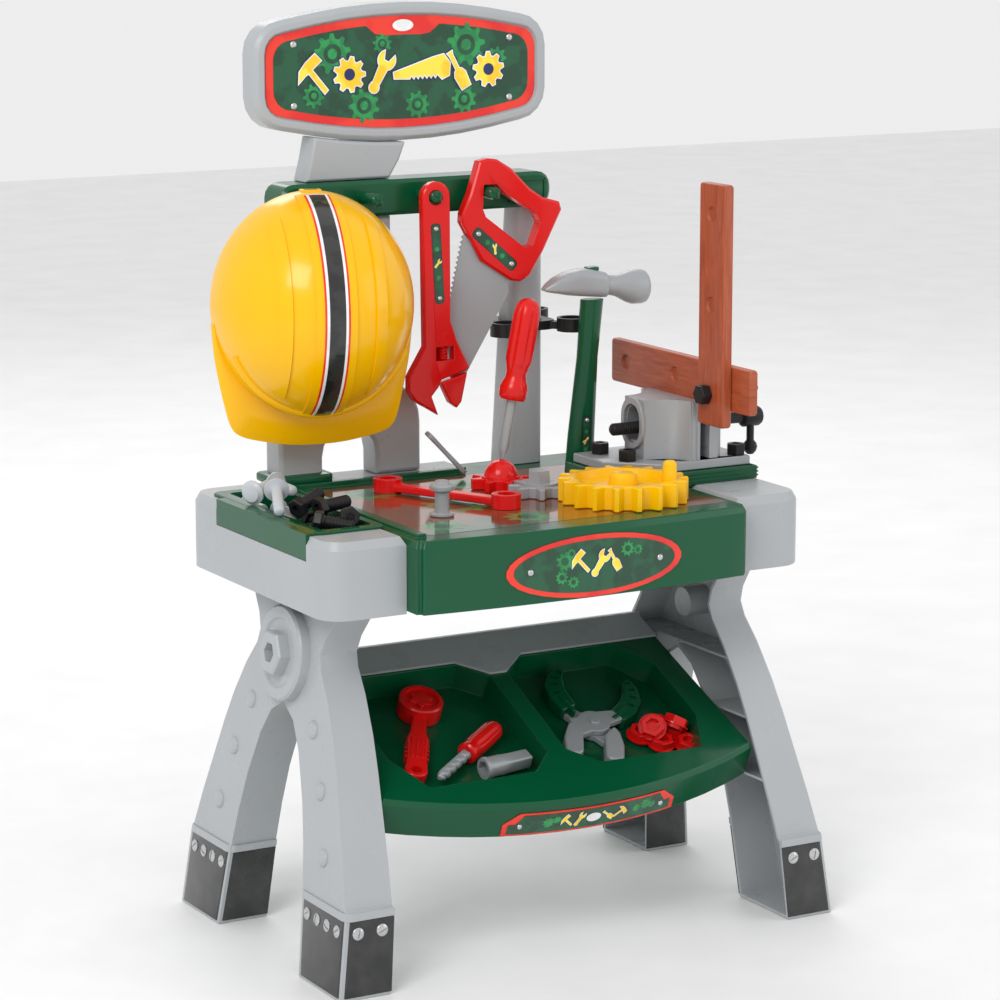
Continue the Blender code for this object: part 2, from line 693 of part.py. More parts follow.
def helmet():
    """A hard hat that hangs by its rim on the first peg, with the peak downwards."""
    half_x, half_z = HELMET_HALF

    def ring(share, thin, count=28):
        turn = share * pi / 2
        points = []
        for i in range(count):
            angle = 2 * pi * i / count
            x = (half_x - thin) * cos(turn) * cos(angle)
            z = (half_z - thin) * cos(turn) * sin(angle)
            points.append((x, -(HELMET_DEPTH - thin) * sin(turn), z))
        return points

    shares = (0, 0.2, 0.4, 0.58, 0.75, 0.9, 0.98)
    rings = [ring(share, 0) for share in reversed(shares)]
    rings += [ring(share, HELMET_WALL) for share in shares]
    place = Matrix.Translation(HELMET_AT) @ Matrix.Rotation(-HELMET_TURN, 4, "Z")
    outer = [(-87, -12), (-84, -45), (-76, -84), (-68, -106), (-52, -114), (-26, -119.5), (0, -121)]
    outer += [(-x, z) for x, z in reversed(outer[:-1])]
    inner = arc((0, 0), (half_x - 1.5, half_z - 1.5), 353, 187, 16)
    peak = standing(outer + inner, -9, -5.8)
    node("helmet", moved(loft(rings), place), "yellow_plastic", HELMET_AT, joined(moved(peak, place)))


def adjustable_wrench():
    front, back = WRENCH_Y
    x, z = PEG_X[2], PEG_Z
    body = [(-31, 485), (-46.7, 460), (-46.8, 447), (-41.2, 438.5), (-17.4, 424), (-24, 441), (-17.3, 448.4)]
    body += [(-14, 455), (9, 461), (14, 463.5), (1, 489), (-5, 506)]
    body += arc((-19, z), (13.5, 13), 0, 180, 8)
    worm_hole = rectangle(-20, -2.5, 472, 484)
    hole = circle((x, z - 0.8), PEG_R + 1, 16)
    node(
        "wrench_body",
        standing(body, front, back, 1.5),
        "red_plastic",
        origin=(x, front, z),
        steps=cut(standing(hole, front - 2, back + 2), standing(worm_hole, front - 2, back + 2)),
    )
    middle = (front + back) / 2
    worm = moved(turned([(3.4, 0.6), (4.4, 2), (4.4, 10), (3.4, 11.4)], 12), at(-11.2, middle, 472))
    node("wrench_worm", worm, "red_plastic", origin=(-11.2, middle, 478))
    jaw = [(-15, 452.7), (-5.9, 434), (0.9, 429), (5.6, 434.3), (11.5, 459.6)]
    node("wrench_jaw", standing(jaw, front + 0.5, back - 0.5, 1), "red_plastic", origin=(-4, middle, 450))


def saw():
    handle = [(18, 615), (10, 598), (9.5, 590), (28.8, 555.6), (58.8, 536.5), (68, 534.9), (77.4, 539.4)]
    handle += [(91.4, 561), (110, 596.4), (107.7, 603.6), (91.3, 608), (77.3, 617)]
    handle += [(58.8, 635.3), (45, 643.5)]
    handle += [(35.8, 644.8), (26.7, 642.9)]
    grip = [(30, 601), (33, 594), (72, 565), (79.7, 566), (88, 586), (84, 594)]
    grip += [(54, 612.5), (44, 622), (31, 622)]
    front, back = SAW_Y
    x, z = PEG_X[3], PEG_Z
    slot = [(5, 590), (-20, 500), (14, 440), (67, 530), (60, 545), (34, 562), (14, 592)]
    blade_front, blade_back = SAW_BLADE_Y
    node(
        "saw_handle",
        standing(handle, front, back, 2),
        "red_plastic",
        origin=(x, 98, z),
        steps=cut(
            standing(grip, front - 2, back + 2),
            standing(slot, blade_front - GAP, blade_back + GAP),
        ),
    )
    blade = []
    teeth = 18
    start, end = Vector((14.5, 579)), Vector((-4.5, 500))
    for tooth in range(teeth):
        root = start.lerp(end, tooth / teeth)
        tip = start.lerp(end, (tooth + 0.5) / teeth) + Vector((-2.6, 0.6))
        blade += [tuple(root), tuple(tip)]
    blade += [(-4.5, 500), (0, 455), (11.3, 450.5), (58, 525), (58, 541.5), (32, 558.5)]
    node("saw_blade", standing(blade, blade_front, blade_back), "silver_plastic", origin=(x, 98, z))


def ring_spanner():
    ends = (Vector((-81, 62)), Vector((-27, -49)))
    low = DECK + GAP
    length = (ends[1] - ends[0]).length
    angle = atan2(*(ends[1] - ends[0]).yx)
    bar = box(8, length - 8, -6, 6, low + 1.5, low + 8, 1)
    rings = [moved(turned([(12.5, low), (12.7, low + 12.2)], 18), at(d, 0, 0)) for d in (0, length)]
    holes = [moved(turned([(8.2, low - 2), (8.2, low + 15)], 6), at(d, 0, 0)) for d in (0, length)]
    place = at(*ends[0], 0) @ Matrix.Rotation(angle, 4, "Z")
    node(
        "ring_spanner",
        moved(bar, place),
        "red_plastic",
        origin=(*ends[0], low),
        steps=joined(*[moved(shape, place) for shape in rings])
        + cut(*[moved(shape, place) for shape in holes]),
    )


def fastener(name, colour, start, direction, length, shaft, head, sides):
    """A play screw or stud: a shaft from its start point, with a head at the far end."""
    thick = 6.0
    top = length - thick
    profile = [(shaft - 1, 0), (shaft, 1.5), (shaft, top), (head, top), (head, length - 1)]
    profile.append((head - 1, length))
    node(name, moved(turned(profile, sides), along(start, direction)), colour, origin=start)


def loose_fasteners():
    fastener("standing_stud", "silver_plastic", (-90, -52, DECK + GAP), (0, 0, 1), 30, 6.2, 10.5, 16)
    floor = TRAY_FLOOR + GAP
    spots = ((-200, 16, -0.1), (-180, 48, 0.2), (-196, 78, 0.12))
    for number, (x, y, turn) in enumerate(spots):
        direction = (cos(turn + pi / 2), sin(turn + pi / 2), 0)
        start = (x, y - 12, floor + 9.1)
        fastener(f"tray_stud_{number + 1}", "silver_plastic", start, direction, 30, 4.5, 9, 14)
    spots = ((-198, -60, 0.1), (-178, -58, -0.05), (-179, -18, 0.1))
    for number, (x, y, turn) in enumerate(spots):
        direction = (cos(turn + pi / 2), sin(turn + pi / 2), 0)
        start = (x, y, floor + 8.6)
        fastener(f"tray_screw_{number + 1}", "black_plastic", start, direction, 30, 5, 8.5, 12)


def leaning_key():
    """A flat lever with a wide round end that leans on the back of the deck."""
    outline = arc((0, 5), 5, 180, 360, 5) + [(4.2, 20), (2.6, 28)] + arc((0, 45), 6.5, 0, 180, 8)
    outline += [(-2.6, 28), (-4.2, 20)]
    place = along((9, 88, 370.5), (-32, 8, 36))
    flat = moved(prism(outline, -2, 2, 0.6), Matrix.Rotation(pi / 2, 4, "X"))
    node("leaning_key", moved(flat, place), "silver_plastic", origin=(9, 88, 370.5))


def pliers_half(name, side, colour, place):
    """One half of the pliers: its jaw is on one side of the pivot and its arm on the other."""
    low, high = PLIERS_LAYER[side]
    jaw = [(9.5, -16), (9.5, -46), (13, -51), (22, -51), (26, -46), (26, -28), (22, -8), (18, -3.5)]
    arm = [(15, 20), (24, 38), (26.5, 52), (25, 66), (29, 71.5), (36, 70), (42, 57), (44, 40)]
    arm += [(38, 22), (27, 8)]
    jaw_neck = [(20, -6), (12, -20), (2, -12), (12, 4)]
    arm_neck = [(26, 12), (18, 20), (3, 13), (13, 2)]
    whole = [prism([(side * x, y) for x, y in jaw], 0, PLIERS_TALL, 1)]
    whole += [prism([(-side * x, y) for x, y in arm], 0, PLIERS_TALL, 1)]
    whole += [prism([(side * x, y) for x, y in jaw_neck], low, high)]
    whole += [prism([(-side * x, y) for x, y in arm_neck], low, high)]
    disc = turned([(14, low - 0.02 * side), (14, high - 0.02 * side)], 20)
    whole = [moved(shape, place) for shape in whole]
    node(name, moved(disc, place), colour, origin=place.translation, steps=joined(*whole))


def on_shelf(u, v, turn=0.0, height=0.3):
    """A place on a bay's floor, turned about the floor's normal."""
    return shelf_frame() @ at(u, v, -BAY_DEPTH + height) @ Matrix.Rotation(turn, 4, "Z")


def shelf_tools():
    place = on_shelf(-127, 40, radians(62))
    bar = prism(rectangle(0, 98, -8, 8, 6), 0, 11, 1.5)
    head = moved(turned([(18, 0), (19, 2), (19, 15), (17, 17)], 20), at(98, 0, 0))
    origin = place.translation
    node("ratchet_wrench", moved(bar, place), "red_plastic", origin, joined(moved(head, place)))
    place = on_shelf(-110, 30, radians(33)) @ at(0, 0, 10) @ Matrix.Rotation(pi / 2, 4, "Y")
    bit = turned([(2, 0), (4.8, 5), (4.8, 35), (3, 45)], 12)
    grip = turned([(6, 45.5), (9.5, 48), (9.5, 92), (7, 96)], 14)
    origin = place.translation
    node("drill_bit", moved(bit, place), "silver_plastic", origin=origin)
    node("drill_handle", moved(grip, place), "red_plastic", origin=origin)
    place = on_shelf(-66, 34, radians(6)) @ at(0, 0, 9.2) @ Matrix.Rotation(pi / 2, 4, "Y")
    socket = turned([(6, 46), (8.8, 44), (8.8, 20), (9.2, 18), (9.2, 0), (6.4, 0), (6.4, 14)], 14)
    node("socket", moved(socket, place), "silver_plastic", origin=place.translation)
    place = on_shelf(*PLIERS_AT)
    pliers_half("pliers_left", -1, "silver_plastic", place)
    pliers_half("pliers_right", 1, "green_plastic", place)
    for number, (u, v) in enumerate(((113, 38), (133, 52))):
        nut = turned([(11, 0), (11, 10), (5.5, 10), (5.5, 4)], 6)
        place = on_shelf(u, v, 0.3 * number)
        node(f"hex_nut_{number + 1}", moved(nut, place), "red_plastic", origin=place.translation)


for leftover in list(bpy.data.objects):
    bpy.data.objects.remove(leftover, do_unlink=True)
COLOURS = palette()
leg_panel("left_leg_panel", -1)
leg_panel("right_leg_panel", 1)
worktop()
end_cap("left_end_cap", -1)
end_cap("right_end_cap", 1)
parts_tray()
shelf()
rear_brace()
back_frame()
sign()
front_label()
tool_rack()
gears()
vise()
planks()
screwdriver()
hammer()
helmet()
adjustable_wrench()
saw()
ring_spanner()
loose_fasteners()
leaning_key()
shelf_tools()
bpy.context.view_layer.update()
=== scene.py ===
import json
from math import atan2, cos, pi, radians, sin, sqrt

import bmesh
import bpy
from mathutils import Matrix, Vector


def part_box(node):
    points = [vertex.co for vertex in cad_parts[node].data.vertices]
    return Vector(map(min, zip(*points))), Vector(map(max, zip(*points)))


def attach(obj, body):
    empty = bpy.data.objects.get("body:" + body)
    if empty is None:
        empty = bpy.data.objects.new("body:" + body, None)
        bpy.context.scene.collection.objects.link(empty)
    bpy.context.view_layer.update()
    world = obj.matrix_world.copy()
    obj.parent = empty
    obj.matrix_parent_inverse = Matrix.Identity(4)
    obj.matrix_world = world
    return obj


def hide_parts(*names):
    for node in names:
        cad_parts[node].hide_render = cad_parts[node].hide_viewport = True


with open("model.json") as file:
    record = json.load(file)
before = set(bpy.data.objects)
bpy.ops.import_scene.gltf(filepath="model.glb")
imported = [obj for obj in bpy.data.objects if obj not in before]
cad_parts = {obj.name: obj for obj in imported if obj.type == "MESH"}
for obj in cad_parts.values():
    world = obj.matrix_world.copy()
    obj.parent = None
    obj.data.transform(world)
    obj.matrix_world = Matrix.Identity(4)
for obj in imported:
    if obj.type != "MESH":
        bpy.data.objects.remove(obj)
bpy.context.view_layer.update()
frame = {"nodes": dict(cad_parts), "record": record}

MM = 0.001
GAP_ABOVE = 0.3  # clearance of a loose tool over the shelf, in millimetres
BODY_OF = {node: body for body, nodes in frame["record"]["behaviour"]["bodies"].items() for node in nodes}


def middle(node):
    """The middle of a CAD part."""
    low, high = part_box(node)
    return [(a + b) / 2 for a, b in zip(low, high)]


# The bench's own middle: halfway between the leg panels, as both stand the same way on each side.
BENCH = Vector(
    (
        (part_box("left_leg_panel")[0][0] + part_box("right_leg_panel")[1][0]) / 2,
        middle("left_leg_panel")[1],
        0.0,
    )
)


# ---------------------------------------------------------------- materials


def shader_nodes(name):
    """A new material with its nodes and links."""
    made = bpy.data.materials.new(name)
    made.use_nodes = True
    return made, made.node_tree.nodes, made.node_tree.links


def noise(nodes, links, scale, detail=3.0, kind="Object"):
    """A noise texture in the object's own space."""
    place = nodes.new("ShaderNodeTexCoord")
    texture = nodes.new("ShaderNodeTexNoise")
    texture.inputs["Scale"].default_value = scale
    texture.inputs["Detail"].default_value = detail
    links.new(place.outputs[kind], texture.inputs["Vector"])
    return texture


def spread(nodes, links, source, low, high):
    """Maps a 0..1 value to a range."""
    change = nodes.new("ShaderNodeMapRange")
    change.inputs["From Min"].default_value = 0.3
    change.inputs["From Max"].default_value = 0.7
    change.inputs["To Min"].default_value = low
    change.inputs["To Max"].default_value = high
    links.new(source, change.inputs["Value"])
    return change.outputs["Result"]


def plastic(name, colour, roughness, coat=0.0, metallic=0.0, grain=0.02, vary=0.06):
    """Moulded plastic: slightly mottled colour, uneven gloss, fine moulding texture and faint scuffs."""
    made, nodes, links = shader_nodes(name)
    shader = nodes["Principled BSDF"]
    mottle = noise(nodes, links, 9.0, 4.0)
    ramp = nodes.new("ShaderNodeMix")
    ramp.data_type = "RGBA"
    ramp.inputs["A"].default_value = (*[c * (1 - vary) for c in colour], 1)
    ramp.inputs["B"].default_value = (*[min(1.0, c * (1 + vary)) for c in colour], 1)
    links.new(mottle.outputs["Fac"], ramp.inputs["Factor"])
    links.new(ramp.outputs["Result"], shader.inputs["Base Color"])
    scuff = noise(nodes, links, 38.0, 6.0)
    links.new(
        spread(nodes, links, scuff.outputs["Fac"], roughness * 0.8, roughness * 1.3),
        shader.inputs["Roughness"]
    )
    skin = noise(nodes, links, 900.0, 2.0)
    wave = noise(nodes, links, 14.0, 1.0)
    fine = nodes.new("ShaderNodeBump")
    fine.inputs["Strength"].default_value = 0.25
    fine.inputs["Distance"].default_value = grain * MM
    links.new(skin.outputs["Fac"], fine.inputs["Height"])
    broad = nodes.new("ShaderNodeBump")
    broad.inputs["Strength"].default_value = 0.12
    broad.inputs["Distance"].default_value = 0.9 * MM
    links.new(wave.outputs["Fac"], broad.inputs["Height"])
    links.new(broad.outputs["Normal"], fine.inputs["Normal"])
    links.new(fine.outputs["Normal"], shader.inputs["Normal"])
    shader.inputs["Metallic"].default_value = metallic
    shader.inputs["Specular IOR Level"].default_value = 0.3
    shader.inputs["Coat Weight"].default_value = 0.35 * coat
    shader.inputs["Coat Roughness"].default_value = 0.08
    return made


def wood_print(name, dark, light):
    """Brown plastic moulded with a wood grain that runs along the plank."""
    made, nodes, links = shader_nodes(name)
    shader = nodes["Principled BSDF"]
    place = nodes.new("ShaderNodeTexCoord")
    stretch = nodes.new("ShaderNodeMapping")
    links.new(place.outputs["UV"], stretch.inputs["Vector"])
    stretch.inputs["Scale"].default_value = (1.0, 9.0, 1.0)
    grain = nodes.new("ShaderNodeTexNoise")
    grain.inputs["Scale"].default_value = 26.0
    grain.inputs["Detail"].default_value = 7.0
    grain.inputs["Distortion"].default_value = 1.1
    links.new(stretch.outputs["Vector"], grain.inputs["Vector"])
    ramp = nodes.new("ShaderNodeMix")
    ramp.data_type = "RGBA"
    ramp.inputs["A"].default_value = (*dark, 1)
    ramp.inputs["B"].default_value = (*light, 1)
    links.new(spread(nodes, links, grain.outputs["Fac"], 0.0, 1.0), ramp.inputs["Factor"])
    links.new(ramp.outputs["Result"], shader.inputs["Base Color"])
    bump = nodes.new("ShaderNodeBump")
    bump.inputs["Strength"].default_value = 0.7
    bump.inputs["Distance"].default_value = 0.25 * MM
    links.new(grain.outputs["Fac"], bump.inputs["Height"])
    links.new(bump.outputs["Normal"], shader.inputs["Normal"])
    shader.inputs["Roughness"].default_value = 0.42
    return made


def printed(name, colour, other, scale=22.0, roughness=0.16, sharp=0.06):
    """A glossy printed sticker with a soft two-tone pattern and slight film ripple."""
    made, nodes, links = shader_nodes(name)
    shader = nodes["Principled BSDF"]
    pattern = noise(nodes, links, scale, 2.0)
    ramp = nodes.new("ShaderNodeMix")
    ramp.data_type = "RGBA"
    ramp.inputs["A"].default_value = (*colour, 1)
    ramp.inputs["B"].default_value = (*other, 1)
    change = nodes.new("ShaderNodeMapRange")
    change.inputs["From Min"].default_value = 0.5 - sharp
    change.inputs["From Max"].default_value = 0.5 + sharp
    links.new(pattern.outputs["Fac"], change.inputs["Value"])
    links.new(change.outputs["Result"], ramp.inputs["Factor"])
    links.new(ramp.outputs["Result"], shader.inputs["Base Color"])
    ripple = noise(nodes, links, 45.0, 1.0)
    bump = nodes.new("ShaderNodeBump")
    bump.inputs["Strength"].default_value = 0.12
    bump.inputs["Distance"].default_value = 0.3 * MM
    links.new(ripple.outputs["Fac"], bump.inputs["Height"])
    links.new(bump.outputs["Normal"], shader.inputs["Normal"])
    links.new(
        spread(nodes, links, ripple.outputs["Fac"], roughness, roughness * 1.6), shader.inputs["Roughness"]
    )
    shader.inputs["Coat Weight"].default_value = 0.4
    return made


LOOK = {
    "green": plastic("green_look", (0.001, 0.080, 0.030), 0.20, coat=0.45),
    "grey": plastic("grey_look", (0.40, 0.42, 0.435), 0.30, coat=0.15, grain=0.05),
    "silver": plastic("silver_look", (0.36, 0.375, 0.39), 0.34, metallic=0.25, grain=0.05),
    "red": plastic("red_look", (0.70, 0.006, 0.006), 0.22, coat=0.4),
    "yellow": plastic("yellow_look", (0.95, 0.50, 0.0), 0.20, coat=0.4),
    "gear_yellow": plastic("gear_yellow_look", (0.95, 0.53, 0.0), 0.28, coat=0.2),
    "black": plastic("black_look", (0.012, 0.012, 0.013), 0.38, grain=0.06),
    "white": plastic("white_look", (0.50, 0.53, 0.56), 0.3),
    "brown": wood_print("brown_look", (0.30, 0.055, 0.018), (0.46, 0.100, 0.038)),
    "boot": printed("boot_print", (0.008, 0.009, 0.009), (0.030, 0.032, 0.030), 60.0, 0.14, 0.2),
    "screw": plastic("screw_metal", (0.55, 0.56, 0.57), 0.25, metallic=0.9),
    "ink_green": printed("ink_green", (0.001, 0.050, 0.018), (0.002, 0.085, 0.032), 60.0),
    "ink_light": printed("ink_light_green", (0.004, 0.20, 0.050), (0.01, 0.30, 0.07), 120.0),
    "ink_red": printed("ink_red", (0.75, 0.010, 0.006), (0.85, 0.03, 0.010), 30.0),
    "ink_yellow": printed("ink_yellow", (0.95, 0.60, 0.01), (1.0, 0.78, 0.06), 60.0),
    "ink_navy": printed("ink_navy", (0.002, 0.012, 0.10), (0.004, 0.020, 0.14), 60.0),
    "ink_white": printed("ink_white", (0.80, 0.82, 0.82), (0.90, 0.90, 0.90), 60.0),
    "ink_black": printed("ink_black", (0.010, 0.010, 0.010), (0.025, 0.025, 0.025), 60.0),
    "deck_print": printed("deck_print", (0.001, 0.060, 0.022), (0.22, 0.060, 0.020), 9.0, 0.08, 0.05),
}

# ---------------------------------------------------------------- shapes, in millimetres


def arc(centre, radius, start, end, steps):
    """Points on an arc, with one radius or two."""
    rx, ry = radius if isinstance(radius, tuple) else (radius, radius)
    turns = [radians(start + (end - start) * i / steps) for i in range(steps + 1)]
    return [(centre[0] + rx * cos(t), centre[1] + ry * sin(t)) for t in turns]


def circle(centre, radius, sides=32):
    """A closed circle of points."""
    return arc(centre, radius, 0, 360 - 360 / sides, sides - 1)


def rectangle(x0, x1, y0, y1, corner=0.0, steps=6):
    """A rectangle, with rounded corners if they are asked for."""
    if corner <= 0:
        return [(x0, y0), (x1, y0), (x1, y1), (x0, y1)]
    near_x, far_x, near_y, far_y = x0 + corner, x1 - corner, y0 + corner, y1 - corner
    return (
        arc((near_x, near_y), corner, 180, 270, steps)
        + arc((far_x, near_y), corner, 270, 360, steps)
        + arc((far_x, far_y), corner, 0, 90, steps)
        + arc((near_x, far_y), corner, 90, 180, steps)
    )


def inset(outline, depth):
    """An outline moved inwards."""
    count = len(outline)
    area = sum(outline[i - 1][0] * outline[i][1] - outline[i][0] * outline[i - 1][1] for i in range(count))
    side = 1 if area > 0 else -1
    result = []
    for i in range(count):
        before = (Vector(outline[i]) - Vector(outline[i - 1])).normalized()
        after = (Vector(outline[(i + 1) % count]) - Vector(outline[i])).normalized()
        normal = (Vector((-before.y - after.y, before.x + after.x)) * side).normalized()
        straight = Vector((-before.y, before.x)) * side
        result.append(tuple(Vector(outline[i]) + normal * depth / max(normal.dot(straight), 0.4)))
    return result


def gear_outline(teeth, root, tip, first=0.0):
    """A gear's rounded teeth."""
    pitch = 2 * pi / teeth
    centre = (root + tip) / 2
    flank = ((root, -0.31), (centre, -0.21), (tip, -0.13), (tip, 0.13), (centre, 0.21), (root, 0.31))
    return [
        (radius * cos(first + (tooth + share) * pitch), radius * sin(first + (tooth + share) * pitch))
        for tooth in range(teeth)
        for radius, share in flank
    ]


def facing_out(solid):
    """A solid with its faces turned outwards."""
    bmesh.ops.recalc_face_normals(solid, faces=solid.faces)
    if solid.calc_volume(signed=True) < 0:
        bmesh.ops.reverse_faces(solid, faces=solid.faces)
    return solid


def loft(rings, ring_shaped=False):
    """A closed solid through rings of equal count; ring_shaped joins the last to the first."""
    solid = bmesh.new()
    rows = [[solid.verts.new(point) for point in ring] for ring in rings]
    count = len(rows[0])
    pairs = list(zip(rows, rows[1:] + ([rows[0]] if ring_shaped else [])))
    for low, high in pairs:
        for i in range(count):
            j = (i + 1) % count
            solid.faces.new((low[i], low[j], high[j], high[i]))
    if not ring_shaped:
        solid.faces.new(reversed(rows[0]))
        solid.faces.new(rows[-1])
    return facing_out(solid)


def levels(outline, heights):
    """An outline at several heights, each with its own inset."""
    return loft([[(x, y, z) for x, y in inset(outline, d)] for z, d in heights])


def prism(outline, low, high, chamfer=0.0):
    """An outline made into a block between two heights."""
    if chamfer <= 0:
        return loft([[(x, y, z) for x, y in outline] for z in (low, high)])
    steps = ((low, chamfer), (low + chamfer * 0.3, chamfer * 0.3), (low + chamfer, 0))
    steps += ((high - chamfer, 0), (high - chamfer * 0.3, chamfer * 0.3), (high, chamfer))
    return levels(outline, steps)


def turned(profile, sides=40):
    """A profile of radius and height spun about Z."""
    return loft([[(x, y, z) for x, y in circle((0, 0), radius, sides)] for radius, z in profile])


def moved(solid, matrix):
    """A solid moved by a matrix."""
    solid.transform(matrix)
    return facing_out(solid)


def at(x, y, z):
    """A matrix that moves to a point."""
    return Matrix.Translation((x, y, z))


def along(start, direction, roll=0.0):
    """A matrix that stands a solid at a point, with its Z along a direction."""
    turn = Vector(direction).to_track_quat("Z", "Y").to_matrix().to_4x4()
    return Matrix.Translation(start) @ turn @ Matrix.Rotation(roll, 4, "Z")


def standing(outline, front, back, chamfer=0.0):
    """An upright plate: an outline across and up, from front to back."""
    return moved(prism(outline, -back, -front, chamfer), Matrix.Rotation(pi / 2, 4, "X"))


# ---------------------------------------------------------------- pieces


def finish_mesh(piece, angle=35.0, bevel=0.0):
    """Smooth shading and rounded edges."""
    piece.data.shade_smooth()
    piece.data.set_sharp_from_angle(angle=radians(angle))
    if bevel:
        change = piece.modifiers.new("rounded_edges", "BEVEL")
        change.width = bevel * MM
        change.segments = 3
        change.limit_method = "ANGLE"
        change.angle_limit = radians(28)
        change.harden_normals = True
        change.miter_outer = "MITER_ARC"


def box_uv(mesh, long_axis):
    """Maps the mesh so that U runs along its long axis, for grain."""
    layer = mesh.uv_layers.new(name="grain")
    others = [axis for axis in range(3) if axis != long_axis]
    for face in mesh.polygons:
        flat = max(others, key=lambda axis: abs(face.normal[axis]))
        across = [axis for axis in others if axis != flat][0]
        for loop in face.loop_indices:
            point = mesh.vertices[mesh.loops[loop].vertex_index].co
            layer.data[loop].uv = (point[long_axis], point[across])


def piece(name, solid, look, body, angle=35.0, bevel=0.0, bench=True):
    """A piece of the bench from a solid in millimetres; it moves with a CAD body."""
    solid.transform(Matrix.Scale(MM, 4))
    if bench:
        solid.transform(Matrix.Translation(BENCH))
    mesh = bpy.data.meshes.new(name)
    solid.to_mesh(mesh)
    solid.free()
    made = bpy.data.objects.new(name, mesh)
    bpy.context.scene.collection.objects.link(made)
    mesh.materials.append(LOOK[look])
    finish_mesh(made, angle, bevel)
    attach(made, body)
    return made


def round_legs(mesh):
    """Gives the long outer edges of a leg a wide rounding, and every other sharp edge a small one."""
    weights = mesh.attributes.new("bevel_weight_edge", "FLOAT", "EDGE")
    tight = bmesh.new()
    tight.from_mesh(mesh)
    tight.edges.ensure_lookup_table()
    for edge in tight.edges:
        if len(edge.link_faces) != 2 or edge.calc_face_angle() < radians(28):
            continue
        outside = True
        for vert in edge.verts:
            x, y, z = (vert.co - BENCH) / MM
            outside &= abs(abs(x) - 240 + 0.128 * z) < 0.4 and (y**2 + (z - 253) ** 2) > 48**2
        weights.data[edge.index].value = 1.0 if outside else 0.15
    tight.free()


def refined(node, look, bevel=0.8, angle=32.0, merge=True):
    """A CAD part with its flat faces joined, edges rounded and its own material."""
    source = frame["nodes"][node]
    solid = bmesh.new()
    solid.from_mesh(source.data)
    solid.transform(source.matrix_world)
    bmesh.ops.remove_doubles(solid, verts=solid.verts, dist=2e-6)
    if merge:
        bmesh.ops.dissolve_limit(
            solid, angle_limit=radians(0.6), verts=solid.verts, edges=solid.edges, delimit=set()
        )
    mesh = bpy.data.meshes.new(node + "_look")
    solid.to_mesh(mesh)
    solid.free()
    made = bpy.data.objects.new(node + "_look", mesh)
    bpy.context.scene.collection.objects.link(made)
    mesh.materials.append(LOOK[look])
    finish_mesh(made, angle, bevel)
    if node.endswith("leg_panel"):
        round_legs(mesh)
        made.modifiers["rounded_edges"].limit_method = "WEIGHT"
        made.modifiers["rounded_edges"].width = 5.5 * MM
    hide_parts(node)
    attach(made, BODY_OF[node])
    return made


def join_cut(target, solid, operation):
    """Joins or cuts a solid in millimetres on a made piece."""
    solid.transform(Matrix.Scale(MM, 4))
    solid.transform(Matrix.Translation(BENCH))
    mesh = bpy.data.meshes.new(target.name + "_tool")
    solid.to_mesh(mesh)
    solid.free()
    tool = bpy.data.objects.new(target.name + "_tool", mesh)
    bpy.context.scene.collection.objects.link(tool)
    tool.hide_render = True
    tool.display_type = "WIRE"
    change = target.modifiers.new("shape", "BOOLEAN")
    change.operation = operation
    change.solver = "EXACT"
    change.object = tool


PLAIN = {
    "worktop": ("green", 1.2),
    "parts_tray": ("green", 0.7),
    "vise_plinth": ("green", 1.5),
    "peg_rail": ("green", 1.0),
    "shelf_tray": ("green", 1.2),
    "left_leg_panel": ("grey", 1.2),
    "right_leg_panel": ("grey", 1.2),
    "left_end_cap": ("grey", 1.5),
    "right_end_cap": ("grey", 1.5),
    "rear_ledge": ("grey", 0.5),
    "left_upright": ("grey", 1.2),
    "right_upright": ("grey", 0.6),
    "sign_bracket": ("grey", 0.8),
    "sign_frame": ("grey", 1.2),
    "rear_brace": ("grey", 0.8),
    "vise_base": ("silver", 0.7),
    "vise_moving_jaw": ("silver", 0.7),
    "grey_gear": ("silver", 0.7),
    "red_gear": ("red", 0.6),
    "yellow_gear": ("gear_yellow", 0.9),
    "leaning_key": ("silver", 0.5),
    "saw_blade": ("silver", 0.0),
    "wrench_body": ("red", 0.7),
    "wrench_jaw": ("red", 0.7),
    "saw_handle": ("red", 1.0),
    "ring_spanner": ("red", 0.8),
    "tool_rack": ("black", 0.6),
    "plank_bolt": ("black", 0.5),
    "vise_bar": ("black", 0.0),
    "plank_upright": ("brown", 0.9),
    "plank_cross": ("brown", 0.9),
    "hammer_handle": ("green", 0.6),
}


def plain_parts():
    """The CAD parts that keep their own shape."""
    made = {}
    for node, (look, bevel) in PLAIN.items():
        made[node] = refined(node, look, bevel)
    box_uv(made["plank_upright"].data, 2)
    box_uv(made["plank_cross"].data, 1)
    return made


# ---------------------------------------------------------------- legs


def leg_x(side, z, depth=0.0):
    """The side of a leg's outer face at a height."""
    half = (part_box("right_leg_panel")[1][0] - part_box("left_leg_panel")[0][0]) / 2 / MM
    return side * (half - 0.128 * z - depth)


def leg_details(side):
    """The raised domes and boots of one side."""
    body = "bench"
    name = "left" if side < 0 else "right"
    out = Vector((side, 0, 0.128)).normalized()
    for y, z in ((58.5, 201), (82.5, 155.5), (99.5, 104.5)):
        for sign in (-1, 1):
            button = turned([(7.6, -0.5), (7.6, 0.4), (6.8, 1.6), (5, 2.5), (2.5, 3.0), (0.4, 3.1)], 32)
            place = along((leg_x(side, z), sign * y, z), out)
            piece(f"{name}_button_{z:.0f}_{sign}", moved(button, place), "grey", body)
    for sign in (-1, 1):
        boot(name, side, sign, body)


